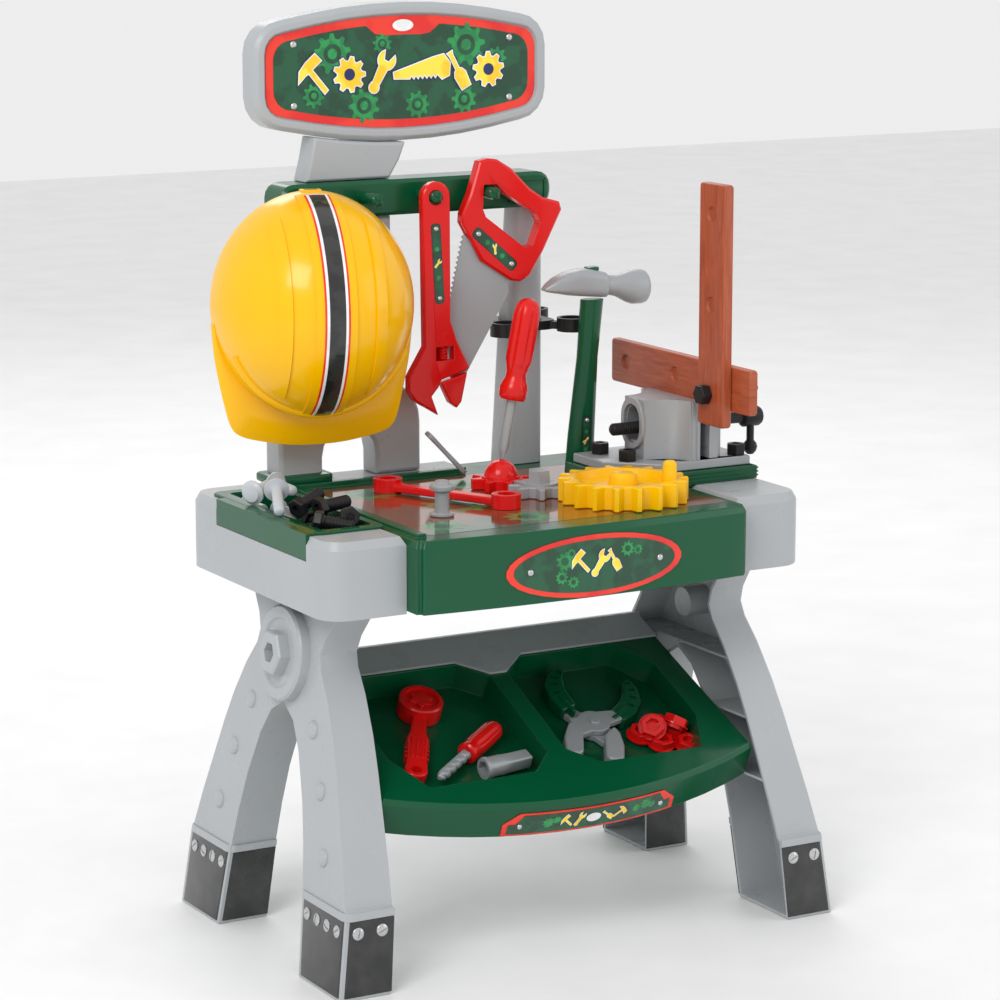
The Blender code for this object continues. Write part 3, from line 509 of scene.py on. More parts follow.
def boot(name, side, sign, body):
    """The dark glossy sleeve on one foot, its grey rim and its slotted screws."""

    def path(z, grow):
        outer = 154 - 4.5 * z / 65 + grow
        inner = 78 - 9.0 * z / 71 - grow
        far = abs(leg_x(side, z)) + grow
        near = 194 - 0.083 * z - 0.4
        turn = 6.0 + grow
        points = [(near, inner)] + arc((far - turn, inner + turn), turn, 270, 360, 5)
        points += arc((far - turn, outer - turn), turn, 0, 90, 5) + [(near, outer)]
        return [(side * x, sign * y, z) for x, y in points]

    def sleeve(z0, z1, thick):
        solid = bmesh.new()
        rows = {
            (grow, z): [solid.verts.new(point) for point in path(z, grow)] for grow in (thick, 0.12)
            for z in (z0, z1)
        }
        wide_low, wide_high, tight_low, tight_high = rows.values()
        for i in range(len(wide_low) - 1):
            solid.faces.new((wide_low[i], wide_low[i + 1], wide_high[i + 1], wide_high[i]))
            solid.faces.new((tight_low[i], tight_low[i + 1], tight_high[i + 1], tight_high[i]))
            solid.faces.new((wide_low[i], wide_low[i + 1], tight_low[i + 1], tight_low[i]))
            solid.faces.new((wide_high[i], wide_high[i + 1], tight_high[i + 1], tight_high[i]))
        for i in (0, -1):
            solid.faces.new((wide_low[i], wide_high[i], tight_high[i], tight_low[i]))
        return facing_out(solid)

    tag = f"{name}_{'front' if sign < 0 else 'back'}"
    piece(f"{tag}_boot", sleeve(2.2, 64, 0.7), "boot", body, bevel=0.3)
    piece(f"{tag}_boot_rim", sleeve(64.4, 71.0, 1.8), "grey", body, bevel=0.8)
    out = Vector((side, 0, 0.128)).normalized()
    z = 54.0
    for i, y in enumerate((83, 101, 119, 137)):
        place = along((leg_x(side, z) + side * 0.7, sign * y, z), out, 0.5 + 1.1 * i)
        slotted_screw(f"{tag}_side_screw_{i}", place, body)
    front = Vector((0, sign, 0.07)).normalized()
    for i, share in enumerate((0.24, 0.74)):
        near, far = 194 - 0.083 * z, side * leg_x(side, z)
        x = side * (near + (far - near) * share)
        y = sign * (154 - 4.5 * z / 65 + 0.7)
        slotted_screw(f"{tag}_front_screw_{i}", along((x, y, z), front, 0.9 * i + 0.4), body)


def slotted_screw(name, place, body, radius=5.2, look="screw"):
    """A domed screw head with one slot."""
    head = turned([(radius, -0.3), (radius, 0.5), (radius * 0.85, 1.2), (radius * 0.5, 1.7), (0.2, 1.85)], 28)
    made = piece(name, moved(head, place), look, body)
    slot = prism(rectangle(-radius * 1.2, radius * 1.2, -0.7, 0.7), 0.7, 3)
    join_cut(made, moved(slot, place), "DIFFERENCE")
    return made


# ---------------------------------------------------------------- labels


def hammer_icon():
    """A small picture of a hammer."""
    return [(-5, -16), (-1, -16), (1, 6), (12, 5), (12, 13), (1, 14), (-8, 13), (-15, 7), (-6, 7), (-3, 6)]


def spanner_icon():
    """A small picture of a spanner."""
    head = arc((0, 12), 8, -60, 50, 8) + [(2.5, 11)] + [(-2.5, 11)] + arc((0, 12), 8, 130, 240, 8)
    return head + [(-3, -12)] + arc((0, -13), 4.5, 150, 390, 8) + [(3, -10)]


def driver_icon():
    """A small picture of a screwdriver."""
    return [
        (-4.5, -16), (4.5, -16), (5.5, -4), (3.5, 0), (1.6, 1), (1.6, 14), (2.6, 17), (-2.6, 17),
        (-1.6, 14), (-1.6, 1), (-3.5, 0), (-5.5, -4)
    ]


def saw_icon():
    """A small picture of a saw."""
    teeth = []
    for i in range(7):
        teeth += [(16 - 4 * i, -4 + 0.4 * i), (14 - 4 * i, -6.5 + 0.4 * i)]
    return [(-24, 3), (-24, -2)] + teeth[::-1] + [(20, -9), (27, -7), (29, 3), (24, 11), (14, 10)]


def gear_icon(size=13):
    """A small picture of a gear."""
    return gear_outline(9, size * 0.76, size)


ICONS = {
    "hammer": hammer_icon, "spanner": spanner_icon, "driver": driver_icon, "gear": gear_icon,
    "saw": saw_icon
}


def placed_outline(outline, x, z, size=1.0, turn=0.0):
    """An outline scaled, turned and moved on a label."""
    c, s = cos(turn) * size, sin(turn) * size
    return [(x + c * px - s * pz, z + s * px + c * pz) for px, pz in outline]


def print_layer(name, outline, depth, look, body, to_world, thick=0.12):
    """One printed layer of a label: an outline in its (across, up) plane, lifted by depth."""
    rings = [[to_world(a, b, d) for a, b in outline] for d in (depth, depth + thick)]
    return piece(name, loft(rings), look, body)


def icon(name, kind, x, z, size, turn, depth, body, to_world):
    """A yellow tool with a white and a navy outline round it."""
    shape = placed_outline(ICONS[kind](), x, z, size, turn)
    print_layer(name + "_navy", inset(shape, -1.6 * size), depth, "ink_navy", body, to_world)
    print_layer(name + "_white", inset(shape, -0.8 * size), depth + 0.14, "ink_white", body, to_world)
    print_layer(name + "_fill", shape, depth + 0.28, "ink_yellow", body, to_world)
    if kind == "gear":
        print_layer(
            name + "_hub", placed_outline(circle((0, 0), 4.5, 20), x, z, size), depth + 0.42, "ink_navy",
            body, to_world
        )


def rivet(name, point, direction, body, radius=3.0):
    """A domed rivet."""
    head = turned([(radius, -0.4), (radius, 0.4), (radius * 0.8, 1.2), (radius * 0.4, 1.7), (0.2, 1.8)], 24)
    piece(name, moved(head, along(point, direction)), "screw", body)


def sign_label():
    """The printed board of the sign."""
    low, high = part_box("sign_label")
    plate = refined("sign_label", "ink_red", 0.0)
    cx = ((low[0] + high[0]) / 2 - BENCH.x) / MM
    cz = (low[2] + high[2]) / 2 / MM
    half_x = (high[0] - low[0]) / 2 / MM
    half_z = (high[2] - low[2]) / 2 / MM
    y = (low[1] - BENCH.y) / MM
    body = "bench"

    def to_world(a, b, depth):
        return (cx + a, y - depth, cz + b)

    def edge(a, grow):
        return half_z - grow - 17 * (a / half_x) ** 2

    def board(grow, corner, notch):
        reach = half_x - grow - corner
        top = []
        for i in range(25):
            a = reach * (1 - i / 12)
            dip = 0.0
            if notch:
                dip = 9.5 * max(0.0, min(1.0, (34 - abs(a)) / 9.0))
            top.append((a, edge(a, grow) - dip))
        right = arc((reach, edge(reach, grow) - corner), corner, 0, 80, 6)
        left = [(-px, pz) for px, pz in reversed(right)]
        bottom = [(a, -edge(a, grow)) for a in [-reach + 2 * reach * i / 24 for i in range(25)]]
        low_left = [(-px, -pz) for px, pz in right]
        low_right = [(px, -pz) for px, pz in reversed(right)]
        return right + top + left + low_left + bottom + low_right

    green = board(7.0, 17, True)
    print_layer("sign_green", green, 0.1, "ink_green", body, to_world)
    for i, (a, b, size, turn) in enumerate(
        (
            (-68, 17, 1.35, 0.2), (62, 21, 1.45, 0.1), (-38, -28, 1.15, 0.4), (14, -29, 0.9, 0.0),
            (60, -26, 0.95, 0.3), (-86, -18, 0.8, 0.5), (-20, 24, 0.7, 0.2), (92, 8, 0.8, 0.0)
        )
    ):
        ring = placed_outline(gear_icon(), a, b, size, turn)
        print_layer(f"sign_gear_{i}", ring, 0.26, "ink_light", body, to_world)
        print_layer(
            f"sign_gear_hole_{i}", placed_outline(circle((0, 0), 6.2, 28), a, b, size), 0.4, "ink_green",
            body, to_world
        )
        print_layer(
            f"sign_gear_hub_{i}", placed_outline(circle((0, 0), 3.4, 20), a, b, size), 0.5, "ink_light",
            body, to_world
        )
    row = (
        ("hammer", -84, 0.8), ("gear", -52, 0.0), ("spanner", -22, -0.5), ("saw", 16, 0.12),
        ("driver", 54, 0.5), ("gear", 84, 0.2)
    )
    for i, (kind, a, turn) in enumerate(row):
        size = 1.05 if kind != "gear" else 1.15
        icon(f"sign_icon_{i}", kind, a, -1, size, turn, 0.62, body, to_world)
    print_layer(
        "sign_oval_rim", arc((0, half_z - 8.5), (11.5, 6.2), 0, 352, 44), 0.3, "ink_red", body, to_world
    )
    print_layer("sign_oval", arc((0, half_z - 8.5), (10, 5), 0, 352, 44), 0.45, "ink_white", body, to_world)
    for i, (a, b) in enumerate(((-105, 26), (105, 26), (-105, -26), (105, -26))):
        point = to_world(a, b, 0.6)
        rivet(f"sign_rivet_{i}", point, (0, -1, 0), body)
    return plate


def worktop_front(x):
    """The bowed front face of the worktop at a place across it."""
    drop = sqrt(1486.0**2 - 154.0**2)
    return -139.0 + drop - sqrt(1486.0**2 - x**2)


def bent(name, stations, look, body, to_world, depth, thick=0.15):
    """A thin layer over stations of (across, low, high) that follows a curved face."""
    rings = []
    for a, low, high in stations:
        rings.append(
            [
                to_world(a, low, depth), to_world(a, high, depth), to_world(a, high, depth + thick),
                to_world(a, low, depth + thick)
            ]
        )
    return piece(name, loft(rings), look, body)


def ellipse_stations(cx, cz, rx, rz, steps=28):
    """Places across an ellipse with its low and high edges."""
    found = []
    for i in range(steps + 1):
        turn = radians(176 - 172 * i / steps)
        found.append((cx + rx * cos(turn), cz - rz * sin(turn), cz + rz * sin(turn)))
    return found


def front_label():
    """The oval plate on the front of the worktop."""
    refined("front_label", "ink_red", 0.0)
    low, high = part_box("front_label")
    cx = ((low[0] + high[0]) / 2 - BENCH.x) / MM
    cz = (low[2] + high[2]) / 2 / MM
    rx, rz = (high[0] - low[0]) / 2 / MM, (high[2] - low[2]) / 2 / MM
    body = "bench"

    def to_world(a, b, depth):
        return (a, worktop_front(a) - 0.9 - depth, b)

    bent("front_green", ellipse_stations(cx, cz, rx - 6.5, rz - 4.2), "ink_green", body, to_world, 0.1)
    for i, (a, b, size) in enumerate(
        ((-30, 6, 0.62), (-33, -7, 0.45), (30, 11, 0.5), (40, 9, 0.35), (-22, -12, 0.4), (-24, 12, 0.35))
    ):
        print_layer(
            f"front_gear_{i}", placed_outline(gear_icon(), cx + a, cz + b, size), 0.27, "ink_light", body,
            to_world
        )
        print_layer(
            f"front_gear_hole_{i}", placed_outline(circle((0, 0), 5.5, 20), cx + a, cz + b, size), 0.4,
            "ink_green", body, to_world
        )
    row = (("hammer", -14, 4, 0.62, 0.85), ("spanner", 3, 1, 0.66, -0.6), ("driver", 17, 3, 0.6, 0.5))
    for i, (kind, a, b, size, turn) in enumerate(row):
        icon(f"front_icon_{i}", kind, cx + a, cz + b, size, turn, 0.5, body, to_world)
    for i, a in enumerate((-62, 62)):
        rivet(f"front_rivet_{i}", to_world(cx + a, cz, 0.3), (0.04 * a / 62, -1, 0), body, 2.8)


# ---------------------------------------------------------------- shelf


SHELF_TILT = radians(24)


def shelf_point(u, v, n):
    """A point of the tilted shelf, in bench millimetres."""
    y = -115 + v * cos(SHELF_TILT) - n * sin(SHELF_TILT)
    z = 150 + v * sin(SHELF_TILT) + n * cos(SHELF_TILT)
    return (u, y, z)


def shelf_matrix(u=0.0, v=0.0, n=0.0, turn=0.0):
    """A matrix that stands a solid on the tilted shelf."""
    axes = Matrix(((1, 0, 0), (0, cos(SHELF_TILT), -sin(SHELF_TILT)), (0, sin(SHELF_TILT), cos(SHELF_TILT))))
    return Matrix.Translation(shelf_point(u, v, n)) @ axes.to_4x4() @ Matrix.Rotation(turn, 4, "Z")


def shelf_front(u):
    """The bowed front of the shelf."""
    half, bow = 181.0, 36.0
    radius = (half**2 + bow**2) / (2 * bow)
    return sqrt(radius**2 - half**2) - sqrt(radius**2 - u**2)


def shelf_details():
    """The plate and rivets on the front of the shelf."""
    body = "bench"
    refined("shelf_label", "ink_red", 0.0)

    def to_world(a, b, depth):
        return shelf_point(a, shelf_front(a) - 0.9 - depth, b)

    stations = []
    for i in range(25):
        share = i / 24
        top = -10.8 if 0.06 < share < 0.94 else -20
        stations.append((-74.5 + 159 * share, -29.8, top))
    bent("shelf_green", stations, "ink_green", body, to_world, 0.1)
    for i, a in enumerate((-38, -30, 48, 57, 64)):
        size = (0.42, 0.3, 0.3, 0.42, 0.3)[i]
        print_layer(
            f"shelf_gear_{i}", placed_outline(gear_icon(), a, -20 + 2 * (i % 2), size), 0.27, "ink_light",
            body, to_world
        )
    row = (("hammer", -20, 0.9), ("spanner", -9, -0.5), ("driver", 19, 0.9), ("hammer", 31, -0.9))
    for i, (kind, a, turn) in enumerate(row):
        icon(f"shelf_icon_{i}", kind, a, -20.3, 0.4, turn, 0.4, body, to_world)
    oval = arc((5, -20.3), (7, 4.4), 0, 350, 35)
    print_layer("shelf_oval", oval, 0.35, "ink_white", body, to_world)
    for i, a in enumerate((-64, 74)):
        point = to_world(a, -22, 0.3)
        out = Vector(shelf_point(0, -1, 0)) - Vector(shelf_point(0, 0, 0))
        rivet(f"shelf_rivet_{i}", point, out, body, 2.4)


# ---------------------------------------------------------------- helmet


def helmet():
    """The hard hat: shell, crest, stripes, peak and hanger, with painted shade over the hanger's slot."""
    centre = joint_place("helmet_off")
    half_x, half_z, depth, wall = 87.0, 96.0, 100.0, 3.0
    place = Matrix.Translation(centre) @ Matrix.Rotation(-radians(13.5), 4, "Z")
    body = BODY_OF["helmet"]

    def ring(share, thin, count=96):
        turn = share * pi / 2
        found = []
        for i in range(count):
            angle = 2 * pi * i / count
            found.append(
                (
                    (half_x - thin) * cos(turn) * cos(angle),
                    -(depth - thin) * sin(turn),
                    (half_z - thin) * cos(turn) * sin(angle),
                )
            )
        return found

    shares = [i / 24 for i in range(24)] + [0.975, 0.995]
    shell = loft([ring(s, 0) for s in reversed(shares)] + [ring(s, wall) for s in shares])
    made = piece("helmet_shell", moved(shell, place), "yellow", body, 50)
    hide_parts("helmet")

    def surface(x, turn, lift):
        """A point lifted off the dome, x to the side and turn degrees up from its middle."""
        squeeze = sqrt(max(0.0, 1 - (x / half_x) ** 2))
        t = radians(turn)
        y, z = -(depth) * cos(t) * squeeze, half_z * sin(t) * squeeze
        normal = Vector((x / half_x**2, y / depth**2, z / half_z**2)).normalized()
        return Vector((x, y, z)) + normal * lift

    def band(name, x0, x1, t0, t1, low_lift, high_lift, look, steps=40):
        rings = []
        for i in range(steps + 1):
            turn = t0 + (t1 - t0) * i / steps
            xs = [x0 + (x1 - x0) * k / 4 for k in range(5)]
            rings.append(
                [surface(x, turn, high_lift) for x in xs] + [
                    surface(x, turn, low_lift) for x in reversed(xs)
                ]
            )
        piece(name, moved(loft(rings), place), look, body, 40)

    band("helmet_crest", -17, 17, -72, 80, -1.0, 1.6, "yellow")
    band("helmet_stripe_red", -10.5, 10.5, -70, 76, 1.0, 1.85, "ink_red")
    band("helmet_stripe_white", -8.8, 8.8, -70, 76, 1.0, 2.0, "ink_white")
    band("helmet_stripe_black", -6.6, 6.6, -69, 75, 1.0, 2.15, "ink_black")
    for side in (-1, 1):
        band(f"helmet_rib_{side}", side * 40 - 5, side * 40 + 5, -55, 62, -1.5, 1.6, "yellow")

    outline = [
        (-87.5, -14), (-84.5, -46), (-77, -84), (-71, -104), (-62, -111.5), (-46, -116), (-24, -119.8),
        (0, -121)
    ]
    outline += [(-x, z) for x, z in reversed(outline[:-1])]
    fine = []
    for i in range(len(outline) - 1):
        before, start, end, after = (
            Vector(outline[max(0, min(len(outline) - 1, k))]) for k in (i - 1, i, i + 1, i + 2)
        )
        for k in range(4):
            t = k / 4
            a = 2 * start + (end - before) * t
            b = (2 * before - 5 * start + 4 * end - after) * t * t
            c = (3 * start - before - 3 * end + after) * t**3
            fine.append((a + b + c) / 2)
    fine.append(Vector(outline[-1]))
    rings = []
    for i, edge in enumerate(fine):
        turn = atan2(edge.y / half_z, edge.x / half_x)
        inner = Vector((half_x * cos(turn), half_z * sin(turn))) * 0.985
        low = max(0.0, -sin(turn)) ** 1.5
        ring = []
        for share, lift in ((0.0, -6.2), (0.35, -7.4), (0.7, -6.6), (1.0, -4.0)):
            point = inner.lerp(edge, share)
            ring.append((point.x, lift - 3.2 * low * (1 - share) - 2.6, point.y))
        for share, lift in ((1.0, -4.0), (0.7, -6.6), (0.35, -7.4), (0.0, -6.2)):
            point = inner.lerp(edge, share)
            ring.append((point.x, lift - 3.2 * low * (1 - share), point.y))
        rings.append(ring)
    piece("helmet_peak", moved(loft(rings), place), "yellow", body, 60)
    brow = []
    for i in range(41):
        t = radians(205 + 130 * i / 40)
        x, z = 0.93 * half_x * cos(t), 0.93 * half_z * sin(t)
        y = -depth * sqrt(max(0.0, 1 - 0.93**2))
        brow.append(
            [
                (x * k, y + d, z * k) for k,
                d in ((1.0, -2.2), (1.035, -1.4), (1.045, 1.5), (1.0, 3.0), (0.97, 1.5), (0.975, -1.4))
            ]
        )
    piece("helmet_brow", moved(loft(brow), place), "yellow", body, 60)
    slot = prism(rectangle(-9, 9, -8, 3, 2), half_z - 4, half_z + 1.0, 0.6)
    piece("helmet_hanger", moved(slot, place), "yellow", body, 40)
    # A thin dark green sheet on the hanger's top is painted shade for its slot; no hole is cut.
    dark = prism(rectangle(-6, 6, -6.5, -0.5, 1), half_z + 0.6, half_z + 1.15)
    piece("helmet_slot_painted_shade", moved(dark, place), "green", body, 40)


# ---------------------------------------------------------------- tools


def screwdriver():
    """The red handle with its flutes, and the shaft."""
    joint = [j for j in frame["record"]["behaviour"]["joints"] if j["name"] == "screwdriver_lift"][0]
    tip = (Vector(joint["pos_m"]) - BENCH) / MM
    place = along(tip, joint["axis"])
    body = BODY_OF["screwdriver_handle"]
    stations = [
        (10.6, 51.5, 0), (12.2, 54, 0), (12.4, 62, 0), (11, 66, 0), (9.2, 70, 0), (8.8, 75, 0),
        (10.4, 81, 0.3), (11.9, 86, 1), (12, 100, 1), (12, 122, 1), (11.6, 128, 0.6), (10.4, 133, 0.2),
        (8, 137, 0), (4.5, 139.3, 0), (1, 140, 0)
    ]
    rings = []
    for radius, z, flute in stations:
        ring = []
        for i in range(72):
            t = 2 * pi * i / 72
            r = radius - flute * 1.5 * max(0.0, cos(6 * t)) ** 2
            ring.append((r * cos(t), r * sin(t), z))
        rings.append(ring)
    made = piece("screwdriver_grip", moved(loft(rings), place), "red", body, 40)
    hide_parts("screwdriver_handle")
    blade = [
        [(x, y * 0.35, 0) for x, y in circle((0, 0), 3.6, 32)],
        [(x, y * 0.6, 5) for x, y in circle((0, 0), 4.4, 32)]
    ]
    blade += [[(x, y, z) for x, y in circle((0, 0), 4.5, 32)] for z in (10, 51)]
    made = piece("screwdriver_blade", moved(loft(blade), place), "silver", body, 40)
    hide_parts("screwdriver_shaft")


def hammer_head():
    """The hammer's lofted head, from claw to face."""
    low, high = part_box("hammer_head")
    y = ((low[1] + high[1]) / 2 - BENCH.y) / MM
    body = BODY_OF["hammer_head"]
    stations = [
        (73.2, 531.3, 4, 1.2), (78, 532.5, 7, 4.0), (85, 534.0, 9.5, 6.8), (96, 535.3, 10.6, 10.2),
        (108, 535.6, 11, 12), (118, 534.9, 11, 12.4), (133.5, 532.2, 10.6, 11.2), (134.5, 532.0, 8.6, 9.2),
        (140, 531, 8.3, 8.8), (146, 530, 8.8, 9.3), (151, 529.2, 10, 11), (157, 528.5, 12.0, 13.6),
        (163, 528.0, 13, 15.2), (172, 527.8, 13, 15.2), (175.5, 527.8, 12.3, 14.4),
        (177.3, 527.8, 10.5, 12.4)
    ]
    rings = []
    for x, z, half_y, half_z in stations:
        power = 0.62 if x < 134 else 1.0
        ring = []
        for i in range(48):
            t = 2 * pi * i / 48
            c, s = cos(t), sin(t)
            ring.append(
                (
                    x, y + half_y * abs(c) ** power * (1 if c > 0 else -1),
                    z + half_z * abs(s) ** power * (1 if s > 0 else -1)
                )
            )
        rings.append(ring)
    made = piece("hammer_steel", loft(rings), "silver", body, 40)
    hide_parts("hammer_head")
    cap = prism(rectangle(116, 128, y - 5, y + 5, 3), 545, 548.6, 1)
    piece("hammer_handle_end", cap, "green", body)


def thread(shaft, length, pitch, start=1.5):
    """The side of a play screw: rounded ridges up its shaft."""
    profile = [(shaft * 0.6, 0), (shaft * 0.9, start)]
    turns = int((length - start) / pitch)
    for i in range(turns):
        z = start + i * pitch
        profile += [
            (shaft * 0.84, z + pitch * 0.1), (shaft, z + pitch * 0.4), (shaft, z + pitch * 0.6),
            (shaft * 0.84, z + pitch * 0.95)
        ]
    return profile


def hex_screw(name, start, direction, length, shaft, head, look, body, roll=0.0):
    """A black play screw: threaded shaft, collar and hexagonal head with a socket."""
    place = along(start, direction, roll)
    ridges = thread(shaft, length - 8, 2.6)
    rod = turned(ridges + [(shaft, length - 7.9), (shaft, length - 6)], 28)
    made = piece(name + "_shaft", moved(rod, place), look, body, 50)
    cap = turned(
        [(head * 0.9, length - 7), (head, length - 6.4), (head, length - 0.8), (head * 0.9, length)], 6
    )
    top = piece(name + "_head", moved(cap, place), look, body, 30, 0.4)
    socket = turned([(head * 0.45, length - 4), (head * 0.45, length + 1)], 6)
    join_cut(top, moved(socket, place), "DIFFERENCE")
    return made


def flange_stud(name, start, direction, length, shaft, head, look, body):
    """A pale stud: a long smooth shaft with a thin wide flange and a short end."""
    place = along(start, direction)
    profile = [
        (shaft * 0.5, 0), (shaft * 0.85, 1), (shaft, 3), (shaft, length - 6), (head * 0.6, length - 5.2),
        (head, length - 4.6), (head, length - 3), (head * 0.8, length - 1.8), (head * 0.7, length - 0.2),
        (head * 0.45, length)
    ]
    made = piece(name, moved(turned(profile, 44), place), look, body, 40)
    return made


def joint_place(joint_name):
    """Where a joint is, in bench millimetres."""
    joint = [j for j in frame["record"]["behaviour"]["joints"] if j["name"] == joint_name][0]
    return (Vector(joint["pos_m"]) - BENCH) / MM


def loose_fasteners():
    """The studs and screws that are parts of the CAD."""
    start = joint_place("stud_lift")
    made = piece(
        "standing_stud_look",
        moved(
            turned(
                [
                    (9.5, 0), (10.2, 0.8), (10.2, 2.2), (6.2, 3), (6, 18), (6.4, 20), (10, 22),
                    (10.4, 23.5), (10.4, 25.5), (9.6, 26.4), (6, 27.2), (5.6, 29.6), (2.4, 29.9)
                ],
                44
            ),
            at(*start),
        ),
        "silver", BODY_OF["standing_stud"], 40,
    )
    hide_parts("standing_stud")
    turns = {"tray_stud": (-0.1, 0.2, 0.12), "tray_screw": (0.1, -0.05, 0.1)}
    for kind, values in turns.items():
        for i, turn in enumerate(values):
            node = f"{kind}_{i + 1}"
            start = joint_place(f"{node}_lift")
            direction = (cos(turn + pi / 2), sin(turn + pi / 2), 0)
            if kind == "tray_stud":
                made = flange_stud(node + "_look", start, direction, 30, 4.5, 9, "white", BODY_OF[node])
            else:
                made = hex_screw(node + "_look", start, direction, 30, 5, 8.5, "black", BODY_OF[node])
            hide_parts(node)


def vise_details():
    """The screw, with a hole for the bar, and the bolts of the vise."""
    body = BODY_OF["vise_screw"]
    start = joint_place("vise_screw_turn")
    place = along(start, (1, 0, 0))
    rod = turned(
        thread(5.5, 60, 2.4) + [(5.2, 61), (5.2, 134), (7.5, 135), (9, 136.5), (9, 151.5), (7.6, 154)], 32
    )
    made = piece("vise_screw_look", moved(rod, place), "black", body, 50)
    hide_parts("vise_screw")
    hole = prism(rectangle(141.2, 148.8, -3.8, 3.8), -20, 20)
    join_cut(made, moved(hole, at(*start)), "DIFFERENCE")
    for i in range(4):
        node = f"vise_bolt_{i + 1}"
        low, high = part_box(node)
        x = ((low[0] + high[0]) / 2 - BENCH.x) / MM
        y = ((low[1] + high[1]) / 2 - BENCH.y) / MM
        z0, z1 = low[2] / MM, high[2] / MM
        cap = turned([(8.3, z0), (8.5, z0 + 0.6), (8.5, z1 - 1), (7.6, z1)], 6)
        made = piece(node + "_look", moved(cap, at(x, y, 0)), "black", "bench", 30, 0.5)
        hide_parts(node)
        join_cut(made, moved(turned([(4.2, z1 - 4.5), (4.2, z1 + 1)], 6), at(x, y, 0)), "DIFFERENCE")


def small_driver():
    """The short driver with a twisted bit on the shelf."""
    start = joint_place("drill_lift")
    place = Matrix.Translation(start) @ shelf_matrix(
        turn=radians(33)
    ).to_3x3().to_4x4() @ Matrix.Rotation(pi / 2, 4, "Y")
    body = BODY_OF["drill_bit"]
    rings = []
    for k in range(61):
        z = 45 * k / 60
        radius = min(4.8, 2 + z * 0.6)
        ring = []
        for i in range(36):
            t = 2 * pi * i / 36
            r = radius * (1 - 0.24 * max(0.0, cos(2 * (t - z * 0.35))) ** 2)
            ring.append((r * cos(t), r * sin(t), z))
        rings.append(ring)
    made = piece("twisted_bit", moved(loft(rings), place), "silver", body, 50)
    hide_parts("drill_bit")
    rings = []
    for radius, z, flute in (
        (8, 45.5, 0), (9.4, 47, 0), (9.5, 51, 0), (8.6, 54, 0), (9.2, 58, 1), (9.5, 64, 1), (9.5, 86, 1),
        (9.2, 91, 0.4), (7.6, 94.6, 0), (5, 96, 0)
    ):
        ring = []
        for i in range(60):
            t = 2 * pi * i / 60
            r = radius - flute * 1.2 * max(0.0, cos(5 * t)) ** 2
            ring.append((r * cos(t), r * sin(t), z))
        rings.append(ring)
    made = piece("small_driver_grip", moved(loft(rings), place), "red", body, 40)
    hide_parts("drill_handle")


def tool_label(name, x0, z0, x1, z1, width, y, body, icons=3):
    """A green strip with two rivets and small tools, on the front of a hanging tool."""
    start, end = Vector((x0, z0)), Vector((x1, z1))
    length = (end - start).length
    ux, uz = (end - start) / length

    def to_world(a, b, depth):
        return (x0 + ux * a - uz * b, y - depth, z0 + uz * a + ux * b)

    half = width / 2
    print_layer(
        name + "_rim", rectangle(0, length, -half, half, half * 0.7), 0.05, "ink_black", body, to_world
    )
    print_layer(
        name + "_green", rectangle(0.8, length - 0.8, 0.8 - half, half - 0.8, half * 0.6), 0.2, "ink_green",
        body, to_world
    )
    for i in range(icons):
        a = length * (0.32 + 0.36 * i / max(1, icons - 1))
        if i == 1:
            icon(f"{name}_icon_{i}", "spanner", a, 0, width / 40, 0.8, 0.36, body, to_world)
            continue
        print_layer(
            f"{name}_gear_{i}", placed_outline(gear_icon(), a, 0, width / 52), 0.3, "ink_light", body,
            to_world
        )
    for i, a in enumerate((half, length - half)):
        rivet(f"{name}_rivet_{i}", to_world(a, 0, 0.3), (0, -1, 0), body, half * 0.5)


def tool_labels():
    """The strips on the wrench, saw and hammer."""
    wrench_y = (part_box("wrench_body")[0][1] - BENCH.y) / MM
    tool_label("wrench_label", -20.5, 592, -16.5, 522, 9.5, wrench_y, BODY_OF["wrench_body"])
    saw_y = (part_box("saw_handle")[0][1] - BENCH.y) / MM
    tool_label("saw_label", 21, 583, 62, 548, 10.5, saw_y, BODY_OF["saw_handle"])
    tool_label("hammer_label", 110.5, 374, 112.5, 418, 8, 52.9, BODY_OF["hammer_handle"])


def nut_solid():
    """A flanged play nut: a hexagonal cap, a thin flange and a round collar round one bore."""
    cap = [(11.0, 4.4), (11.0, 10.2), (10.3, 10.8), (6.2, 10.8), (6.2, 5.0)]
    return turned(
        [(5.8, 5.4), (5.8, 0.4), (8.6, 0.0), (8.8, 3.0), (12.4, 3.2), (12.4, 4.4), (6.0, 4.5)], 40
    ), turned(cap, 6)


def nuts():
    """The pile of red play nuts in the right bay."""
    base = shelf_matrix().to_3x3().to_4x4()
    spots = (
        (1, 113, 38, 0.3, 0.2, (0, 0)),
        (2, 133, 52, 0.3, 0.6, (0, 0)),
        (1, 100, 52, 0.3, 0.9, (0.0, 0.0)),
        (1, 122, 60, 0.5, 0.1, (0.25, 0.1)),
        (2, 136, 30, 0.3, 1.2, (0.0, 0.0)),
        (1, 109, 50, 12.0, 0.4, (0.5, -0.4)),
        (2, 128, 46, 12.4, 0.8, (-0.5, 0.5)),
    )
    for i, (body, u, v, height, turn, lean) in enumerate(spots):
        point = Vector(shelf_point(u, v, -22 + height))
        matrix = Matrix.Translation(point) @ base @ Matrix.Rotation(
            lean[0], 4, "X"
        ) @ Matrix.Rotation(lean[1], 4, "Y")
        matrix = matrix @ Matrix.Rotation(turn, 4, "Z")
        collar, cap = nut_solid()
        first = piece(f"nut_{i}_collar", moved(collar, matrix), "red", BODY_OF[f"hex_nut_{body}"], 40)
        if i < 2:
            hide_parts(f"hex_nut_{i + 1}")
        piece(f"nut_{i}_cap", moved(cap, matrix), "red", BODY_OF[f"hex_nut_{body}"], 30, 0.5)


